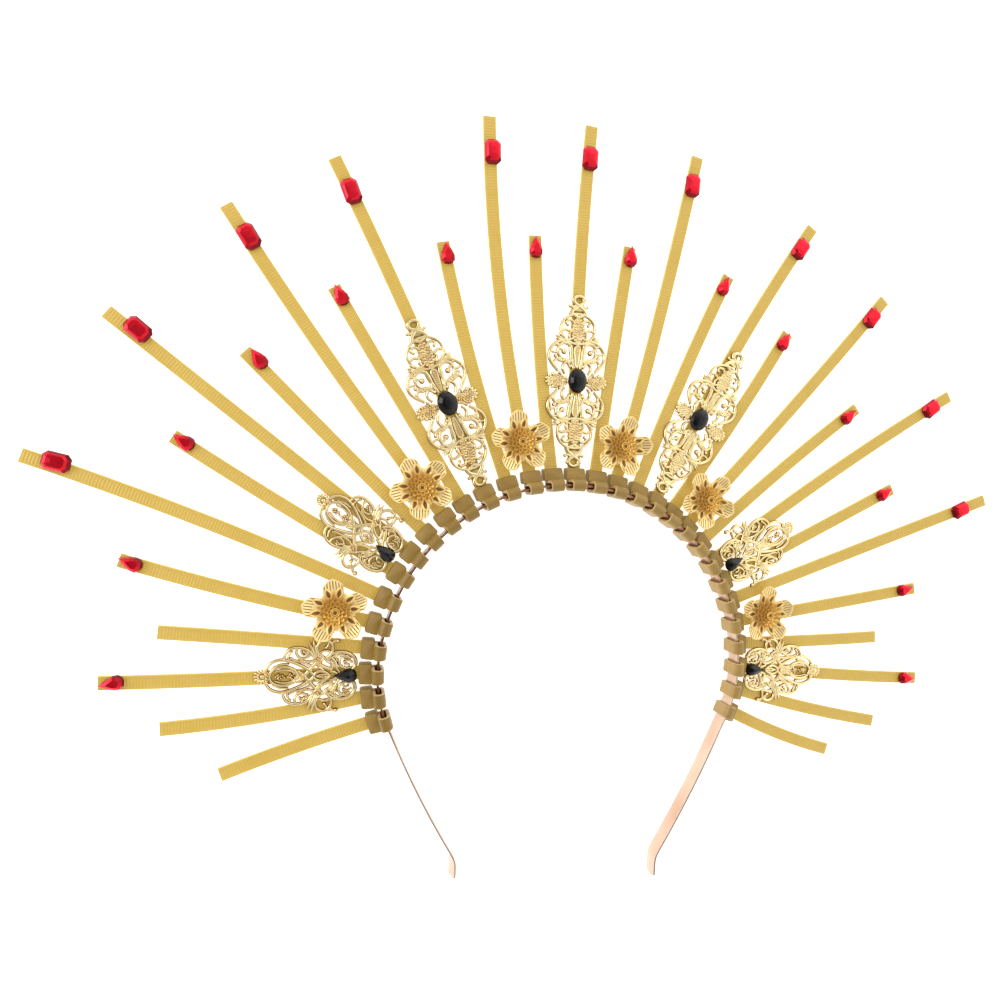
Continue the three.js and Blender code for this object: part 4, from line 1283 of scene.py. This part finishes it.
def lozenge_shape(height):
    """The long plate: four quarters of scrolls, a ring at each end, oval webs, nuggets and beaded bars."""
    shape = Shape()
    for scroll in LOZENGE_SCROLLS:
        add_scroll(shape, scroll, QUARTERS, height)
    add_leaves(shape, LOZENGE_LEAVES, QUARTERS, height)
    for ring in LOZENGE_RINGS:
        for end in (1, -1):
            line = oval_line(end * ring["along"], ring["across"], ring["up"])
            wire(shape, line, ring["width"], height, PLATE_BACK, closed=True)
    for web in LOZENGE_WEBS:
        for flip in HALVES if web["side"] else ((1, 1), (1, -1)):
            add_web(shape, web, flip, height)
    for patch in LOZENGE_PATCHES:
        nuggets(shape, patch, height * NUGGET_RISE, PLATE_BACK)
    for end in (1, -1):
        bar = np.array([(0.0, end * BAR_BEADS["from"]), (0.0, end * BAR_BEADS["to"])])
        bead_row(shape, bar, BAR_BEADS["radius"], height)
    return shape


def fan_shape(height):
    """The fan plate: mirrored scrolls, side leaves, oval webs, nugget patches and a toothed crest."""
    shape = Shape()
    for scroll in FAN_SCROLLS:
        add_scroll(shape, scroll, HALVES, height)
    add_leaves(shape, FAN_LEAVES, HALVES, height)
    for web in FAN_WEBS:
        for flip in HALVES if web["side"] else HALVES[:1]:
            add_web(shape, web, flip, height)
    for patch in FAN_PATCHES:
        nuggets(shape, patch, height * NUGGET_RISE, PLATE_BACK)
    foot = np.array([0.0, CREST_FOOT])
    teeth = CREST_TEETH
    for angle in np.radians(np.linspace(-teeth["spread"], teeth["spread"], teeth["count"])):
        way = np.array([math.sin(angle), math.cos(angle)])
        reach = teeth["reach"] + teeth["longer"] * math.cos(angle)
        start = foot + teeth["foot"] * way
        leaf(shape, start, foot + reach * way, teeth["half"], height * LEAF_RISE, PLATE_BACK)
    dome(shape, *foot, CREST_BEAD, height * CREST_RISE, PLATE_BACK, 10)
    return shape


def add_plates(settings, spots, make, kind, node):
    """One plate at each spot, with painted shade that makes it darker to the left and paler to the right:
    tone = its own tone + SIDE_SHADE * x.
    """
    material = plate_material(settings)
    for spot in spots:
        shape = make(settings.wire_height / MM).at_spot(spot)
        shape.tones = [tone + SIDE_SHADE * spot["x"] for tone in shape.tones]
        new_piece(f"{kind}_{spot['name']}", shape, material, [f"{node}_{spot['name']}"], sharp=60)


class CROWN_OT_add_lozenges(bpy.types.Operator):
    """Add the three long scrollwork plates"""

    bl_idname = "crown.add_lozenges"
    bl_label = "Add lozenge plates"
    bl_options = {"REGISTER", "UNDO"}

    def execute(self, context):
        add_plates(context.scene.crown_plate, LOZENGES, lozenge_shape, "scroll_lozenge", "lozenge_plate")
        return {"FINISHED"}


class CROWN_OT_add_fans(bpy.types.Operator):
    """Add the four fan-shaped scrollwork plates"""

    bl_idname = "crown.add_fans"
    bl_label = "Add fan plates"
    bl_options = {"REGISTER", "UNDO"}

    def execute(self, context):
        add_plates(context.scene.crown_plate, FANS, fan_shape, "scroll_fan", "fan_plate")
        return {"FINISHED"}


# ------------------------------------------------------------------ flowers

PETALS = 5
PETAL_FOOT = 3.2
PETAL_TIP = 12.0
PETAL_ROWS = 23
GROOVE_COLUMNS = 8         # points across each groove of a petal
PETAL_NECK = 1.9           # half width at the foot
PETAL_HALF = 3.65          # half width of the straight part
PETAL_WIDENED = 0.5        # share of the length by which a petal has that width
PETAL_CLOSING = 0.08       # share of the width that it loses again at the rim
PETAL_ROOF, PETAL_SHOULDER = 1.3, 0.9      # how far its rim falls back, evenly and as a cube
PETAL_CURL = 0.8           # how high its sides curl up
RIB_BOW = 0.08             # how much later the ribs begin in its middle
RIB_STEEPNESS = 2.6
PETAL_LIFT = 2.7
PETAL_BASE = 5.5
PETAL_WALL = 0.35
RIB_START, RIB_END = 0.45, 0.98   # shares of a petal's length between which it is ribbed


class CrownFlowerSettings(bpy.types.PropertyGroup):
    """Petals of the flowers"""

    grooves: bpy.props.IntProperty(
        name="Grooves", description="Grooves across each outer petal", default=7, min=3, max=15)
    groove_depth: bpy.props.FloatProperty(
        name="Groove depth", description="Depth of the grooves between a petal's ribs", default=0.0004,
        min=0.0, max=0.001, unit="LENGTH")
    rim_colour: bpy.props.FloatVectorProperty(
        name="Rim colour", description="Colour of the plating at the petals' rims",
        default=tint("ffe8a8"), subtype="COLOR", **RGB)
    heart_colour: bpy.props.FloatVectorProperty(
        name="Heart colour", description="Colour of the plating in the middle", default=tint("e8b24a"),
        subtype="COLOR", **RGB)


def petal_height(out):
    """Height of the petals at a distance from the middle: low in the middle, lifting towards the rim."""
    share = np.clip((out - PETAL_FOOT) / (PETAL_TIP - PETAL_FOOT), 0, 1)
    return PETAL_BASE + PETAL_LIFT * share**1.4


def petal_shape(settings, turn):
    """One outer petal, u across and v out: half width grows as a sine of v and stays, the rim is a low roof
    in u, the sides curl up as u squared, and steep-sided grooves, a clipped cosine of u, run to the rim."""
    columns = settings.grooves * GROOVE_COLUMNS + 1
    u = np.linspace(-1, 1, columns)[None, :]
    v = np.linspace(0, 1, PETAL_ROWS)[:, None]
    half = PETAL_NECK + (PETAL_HALF - PETAL_NECK) * np.sin(np.minimum(v / PETAL_WIDENED, 1) * np.pi / 2)
    half = half * (1 - PETAL_CLOSING * np.clip((v - 0.85) / 0.15, 0, 1) ** 2)
    rim = PETAL_TIP - PETAL_ROOF * np.abs(u) - PETAL_SHOULDER * np.abs(u) ** 3
    out = PETAL_FOOT + (rim - PETAL_FOOT) * v
    wave = np.cos(np.pi * settings.grooves * (u + 1))
    start = RIB_START + RIB_BOW * (1 - u**2)
    ends = np.clip((v - start) / 0.05, 0, 1) * np.clip((RIB_END - v) / 0.04, 0, 1)
    groove = np.clip(1.0 - RIB_STEEPNESS * wave, 0, 1) * ends
    curl = PETAL_CURL * u**2 * (0.3 + 0.7 * v)
    height = petal_height(out) + curl - groove * settings.groove_depth / MM
    points = np.stack([u * half, out, height], axis=-1).reshape(-1, 3)
    # Tone: deeper gold towards the heart, and painted shade down in the grooves.
    tone = (0.42 + 0.58 * np.clip(v / 0.6, 0, 1)) * (1 - groove)
    shape = Shape()
    shape.add(points, [grid_faces(PETAL_ROWS, columns, False)[:, ::-1]], tone.ravel())
    return shape.placed(0.0, 0.0, turn)


def toned(shape, part, low=0.0, high=1.0):
    """Adds a part to a shape with its tones drawn between two numbers."""
    shape.add(np.concatenate(part.points), part.faces, low + (high - low) * np.concatenate(part.tones))


def open_leaf(shape, turn, foot, tip, half, width, lift):
    """A leaf with an opening: a wire round an almond whose half width is a sine, above the petals, and in
    the opening a low dark leaf of painted shade.
    """
    share = np.linspace(0, 1, 9)
    reach = half * np.sin(np.pi * share) ** 0.85
    there = np.column_stack([reach, foot + (tip - foot) * share])
    back = np.column_stack([-reach[::-1], foot + (tip - foot) * share[::-1]])[1:-1]
    line = np.vstack([there, back])
    rim = Shape()
    wire(rim, line, width, 0.55, petal_height(line[:, 1]) + lift, closed=True)
    toned(shape, rim.placed(0.0, 0.0, turn), 0.3, 0.85)
    # Painted shade: a dark low leaf where the opening is.
    painted_pit = Shape()
    reach = np.linspace(foot + 0.3, tip - 0.3, 7)
    leaf(painted_pit, (0.0, reach[0]), (0.0, reach[-1]), half * 0.6, 0.12, petal_height(reach) + lift)
    toned(shape, painted_pit.placed(0.0, 0.0, turn), 0.1, 0.1)


CUP_GRID = 7               # points each way on a scooped petal
CUP_WALL = 0.3


def cup_ring(shape, count, foot, tip, half, base, rise, turn, tone):
    """A ring of small scooped petals: v runs out, u across, the height dips as 1 - u squared."""
    size = CUP_GRID
    u = np.linspace(-1, 1, size)[None, :]
    v = np.linspace(0, 1, size)[:, None]
    reach = half * np.sin(np.pi * (0.2 + 0.55 * v))
    out = foot + (tip - foot) * v - 0.3 * half * u**2 * v**2
    height = base + rise * v - 0.4 * (1 - u**2) * np.sin(np.pi * (0.15 + 0.85 * v))
    top = np.stack([u * reach, out, height], axis=-1).reshape(-1, 3)
    under = top - (0.0, 0.0, CUP_WALL)
    step = np.arange(size - 1)
    end = size**2
    rim = np.concatenate([step, size - 1 + size * step, end - 1 - step, end - size - size * step])
    wall = np.stack([rim, np.roll(rim, -1), np.roll(rim, -1) + end, rim + end], axis=-1)
    faces = [grid_faces(size, size, False)[:, ::-1], grid_faces(size, size, False) + end, wall]
    # Painted shade: darkest at the foot and down the middle of each scoop, darker still underneath.
    shade = (tone * (0.55 + 0.45 * v) * (0.45 + 0.55 * u**2)).ravel()
    part = Shape()
    part.add(np.vstack([top, under]), faces, np.concatenate([shade, shade * 0.4]))
    for index in range(count):
        toned(shape, part.placed(0.0, 0.0, turn + 360 * index / count))


# Rings of scooped petals. base, rise: height of their feet and how much higher their tips are.
CUP_RINGS = table(
    "count foot tip half base rise turn tone",
    (14, 2.4, 5.6, 0.95, 7.6, 0.9, 8.0, 0.62),
    (12, 1.6, 4.3, 0.85, 8.3, 0.8, 20.0, 0.56),
    (9, 0.9, 3.0, 0.8, 8.9, 0.6, 4.0, 0.5),
)
EYE_RINGS = table(
    "radius base width",
    (1.5, 9.1, 0.45),
    (0.9, 9.0, 0.4),
)
EYE_RING_HEIGHT = 0.6
HUB = {"radius": 4.9, "height": 3.6, "base": PLATE_BACK, "sides": 24}
EYE = {"radius": 0.55, "height": 0.3, "base": 9.0, "sides": 10}
FOLD = {"foot": (0.0, 4.4), "tip": (0.0, 7.4), "half": 0.95, "height": 0.7, "base": PETAL_BASE + 0.3}
OPEN_LEAF = {"foot": 4.2, "tip": 8.8, "half": 1.05, "width": 0.75, "lift": 0.4}
OPEN_LEAF_SIDE = 17.0      # degrees from a petal's middle to each of its two open leaves


def heart_shape():
    """The flower's middle: a low hub, ten open leaves and five folded ones, three rings of narrow scooped
    petals, two raised rings and a dark eye."""
    shape = Shape()
    hub = Shape()
    dome(hub, 0.0, 0.0, **HUB)
    toned(shape, hub, 0.02, 0.3)
    for turn in 360 / PETALS * np.arange(PETALS):
        for side in (-OPEN_LEAF_SIDE, OPEN_LEAF_SIDE):
            open_leaf(shape, turn + side, **OPEN_LEAF)
        fold = Shape()
        leaf(fold, **FOLD)
        toned(shape, fold.placed(0.0, 0.0, turn + 180 / PETALS), 0.5, 1.0)
    for ring in CUP_RINGS:
        cup_ring(shape, **ring)
    for ring in EYE_RINGS:
        part = Shape()
        line = oval_line(0.0, ring["radius"], ring["radius"], 20)
        wire(part, line, ring["width"], EYE_RING_HEIGHT, ring["base"], closed=True)
        toned(shape, part, 0.05, 0.4)
    eye = Shape()
    dome(eye, 0.0, 0.0, **EYE)
    toned(shape, eye, 0.0, 0.0)
    return shape


class CROWN_OT_add_flowers(bpy.types.Operator):
    """Add the six flowers: ribbed outer petals round a layered heart"""

    bl_idname = "crown.add_flowers"
    bl_label = "Add flowers"
    bl_options = {"REGISTER", "UNDO"}

    def execute(self, context):
        settings = context.scene.crown_flower
        material = flower_material(settings)
        petals = Shape()
        for step in range(PETALS):
            toned(petals, petal_shape(settings, step * 360 / PETALS))
        for spot in FLOWERS:
            name, nodes = spot["name"], [f"flower_{spot['name']}"]
            outer = new_piece(f"petals_{name}", petals.at_spot(spot), material, nodes, sharp=60)
            wall = outer.modifiers.new("wall", "SOLIDIFY")
            wall.thickness = PETAL_WALL * MM
            wall.offset = -1.0
            new_piece(f"heart_{name}", heart_shape().at_spot(spot), material, nodes, sharp=60)
        return {"FINISHED"}


# ------------------------------------------------------------------ stage

CAMERA_OFFSET = (-0.0864, 0.0701)    # metres from the arch's centre
SENSOR_WIDTH = 36.0
CAMERA_CLIP = (0.01, 20.0)
CAMERA_HEIGHT = 0.25865
CAMERA_FORWARD = (0.2225, -0.0230, -0.9747)
CAMERA_UP = (-0.0442, 0.9985, -0.0336)
FLOOR_LEVEL = -0.0002                # a hair under the backs of the heads
DARK_CARD = (-0.45, -0.1, 0.888)     # direction of the soft dark card overhead that deepens the left side
SKY_STOPS = [(0.2, (1.45, 1.44, 1.38, 1.0)), (0.62, (1.0, 1.0, 1.0, 1.0)), (0.97, (0.16, 0.15, 0.14, 1.0))]
BACKDROP = (1.2, 1.2, 1.2, 1.0)      # what the camera itself sees round the floor
FLOOR_REACH = 3.0
PAPER_GRAIN = "f4f2ee"
STAGE_MIDDLE = 0.06                  # from the arch's centre up to what the lamps point at
MAIN_LAMP = {"offset": (0.65, 1.0, 0.8), "size": (0.9, 0.9)}
SIDE_LAMP = {"offset": (-0.9, 0.2, 0.5), "size": (0.6, 0.9)}


class CrownStageSettings(bpy.types.PropertyGroup):
    """Camera, floor and lamps"""

    lens: bpy.props.FloatProperty(
        name="Lens", description="Focal length of the camera in millimetres", default=25.0, min=10.0,
        max=100.0)
    floor_colour: bpy.props.FloatVectorProperty(
        name="Floor", description="Colour of the floor", default=(0.93, 0.93, 0.93), subtype="COLOR", **RGB)
    floor_glow: bpy.props.FloatProperty(
        name="Floor glow", description="Light that the floor gives off by itself", default=0.8, min=0.0,
        max=2.0)
    sky: bpy.props.FloatProperty(
        name="Surrounding light", description="Strength of the light from all round", default=0.92,
        min=0.0, max=5.0)
    key: bpy.props.FloatProperty(
        name="Main light", description="Power of the large lamp overhead", default=1.5, min=0.0,
        unit="POWER")
    fill: bpy.props.FloatProperty(
        name="Side light", description="Power of the large lamp at the side", default=6.0, min=0.0,
        unit="POWER")


def add_floor(settings):
    """A wide square of pale paper that gives off a little light of its own."""
    nodes = Nodes("pale_paper")
    grain = nodes.noise(6.0, 2.0)
    nodes.base(nodes.mix(nodes.spread(grain, 0.0, 0.1), opaque(settings.floor_colour), colour(PAPER_GRAIN)))
    nodes.roughness(grain, 0.8, 0.9)
    nodes.constants(Emission_Color=(1.0, 1.0, 1.0, 1.0), Emission_Strength=settings.floor_glow)
    mesh = bpy.data.meshes.new("pale_floor")
    turns = [(-1, -1), (1, -1), (1, 1), (-1, 1)]
    corners = [(x * FLOOR_REACH, y * FLOOR_REACH, FLOOR_LEVEL) for x, y in turns]
    mesh.from_pydata(corners, [], [(0, 1, 2, 3)])
    mesh.materials.append(nodes.owner)
    floor = bpy.data.objects.new("pale_floor", mesh)
    bpy.context.scene.collection.objects.link(floor)


def add_surroundings(settings):
    """Light from all round that fades towards a dark card. The camera itself sees plain white there."""
    nodes = Nodes("studio", "worlds", "BACKGROUND")
    nearness = nodes.new("ShaderNodeVectorMath", operation="DOT_PRODUCT")
    nearness.inputs[1].default_value = DARK_CARD
    nodes.link(nodes.new("ShaderNodeTexCoord").outputs["Generated"], nearness.inputs[0])
    glow = nodes.ramp(nearness.outputs["Value"], SKY_STOPS)
    seen = nodes.new("ShaderNodeLightPath").outputs["Is Camera Ray"]
    nodes.link(nodes.mix(seen, glow, BACKDROP), nodes.shader.inputs["Color"])
    nodes.constants(Strength=settings.sky)
    bpy.context.scene.world = nodes.owner


def add_lamp(name, lamp, power):
    """A large rectangular lamp, at an offset from the stage's middle, that points at it."""
    target = Vector((CENTRE[0], CENTRE[1] + STAGE_MIDDLE, 0.0))
    light = bpy.data.lights.new(name, "AREA")
    light.shape = "RECTANGLE"
    light.size, light.size_y = lamp["size"]
    light.energy = power
    holder = bpy.data.objects.new(name, light)
    holder.location = target + Vector(lamp["offset"])
    holder.rotation_euler = (-Vector(lamp["offset"])).to_track_quat("-Z", "Y").to_euler()
    bpy.context.scene.collection.objects.link(holder)


def add_camera(settings):
    """The camera above the crown, from its forward and up directions."""
    camera = bpy.data.cameras.new("camera")
    camera.lens = settings.lens
    camera.sensor_width = SENSOR_WIDTH
    camera.clip_start, camera.clip_end = CAMERA_CLIP
    holder = bpy.data.objects.new("camera", camera)
    backward = -Vector(CAMERA_FORWARD).normalized()
    right = Vector(CAMERA_UP).cross(backward).normalized()
    place = Matrix((right, backward.cross(right), backward)).transposed().to_4x4()
    place.translation = (CENTRE[0] + CAMERA_OFFSET[0], CENTRE[1] + CAMERA_OFFSET[1], CAMERA_HEIGHT)
    holder.matrix_world = place
    bpy.context.scene.collection.objects.link(holder)
    bpy.context.scene.camera = holder


class CROWN_OT_add_stage(bpy.types.Operator):
    """Add the pale floor, the soft lamps and the camera above the crown"""

    bl_idname = "crown.add_stage"
    bl_label = "Add stage"
    bl_options = {"REGISTER", "UNDO"}

    def execute(self, context):
        settings = context.scene.crown_stage
        add_floor(settings)
        add_surroundings(settings)
        add_lamp("main_lamp", MAIN_LAMP, settings.key)
        add_lamp("side_lamp", SIDE_LAMP, settings.fill)
        add_camera(settings)
        context.scene.view_settings.view_transform = "Standard"
        return {"FINISHED"}


# ------------------------------------------------------------------ panel and registration

OPERATORS = [
    CROWN_OT_add_stage,
    CROWN_OT_add_band,
    CROWN_OT_add_heads,
    CROWN_OT_add_straps,
    CROWN_OT_add_lozenges,
    CROWN_OT_add_fans,
    CROWN_OT_add_flowers,
    CROWN_OT_add_red_stones,
    CROWN_OT_add_black_stones,
]
SETTINGS = {
    "crown_band": CrownBandSettings,
    "crown_strap": CrownStrapSettings,
    "crown_stone": CrownStoneSettings,
    "crown_plate": CrownPlateSettings,
    "crown_flower": CrownFlowerSettings,
    "crown_stage": CrownStageSettings,
}


class CROWN_PT_pieces(bpy.types.Panel):
    """Lists the pieces of the crown and their settings"""

    bl_idname = "CROWN_PT_pieces"
    bl_label = "Halo crown"
    bl_space_type = "VIEW_3D"
    bl_region_type = "UI"
    bl_category = "Crown"

    def draw(self, context):
        for operator in OPERATORS:
            self.layout.operator(operator.bl_idname)
        for name, group in SETTINGS.items():
            box = self.layout.box()
            box.label(text=name.replace("_", " ").capitalize())
            for field in group.__annotations__:
                box.prop(getattr(context.scene, name), field)


def register():
    for group in SETTINGS.values():
        bpy.utils.register_class(group)
    for name, group in SETTINGS.items():
        setattr(bpy.types.Scene, name, bpy.props.PointerProperty(type=group))
    for operator in OPERATORS:
        bpy.utils.register_class(operator)
    bpy.utils.register_class(CROWN_PT_pieces)


def unregister():
    bpy.utils.unregister_class(CROWN_PT_pieces)
    for operator in reversed(OPERATORS):
        bpy.utils.unregister_class(operator)
    for name, group in SETTINGS.items():
        delattr(bpy.types.Scene, name)
        bpy.utils.unregister_class(group)


def main():
    register()
    bpy.ops.crown.add_stage()
    bpy.ops.crown.add_band()
    bpy.ops.crown.add_heads()
    bpy.ops.crown.add_straps()
    bpy.ops.crown.add_lozenges()
    bpy.ops.crown.add_fans()
    bpy.ops.crown.add_flowers()
    bpy.ops.crown.add_red_stones()
    bpy.ops.crown.add_black_stones()


if __name__ == "__main__":
    main()
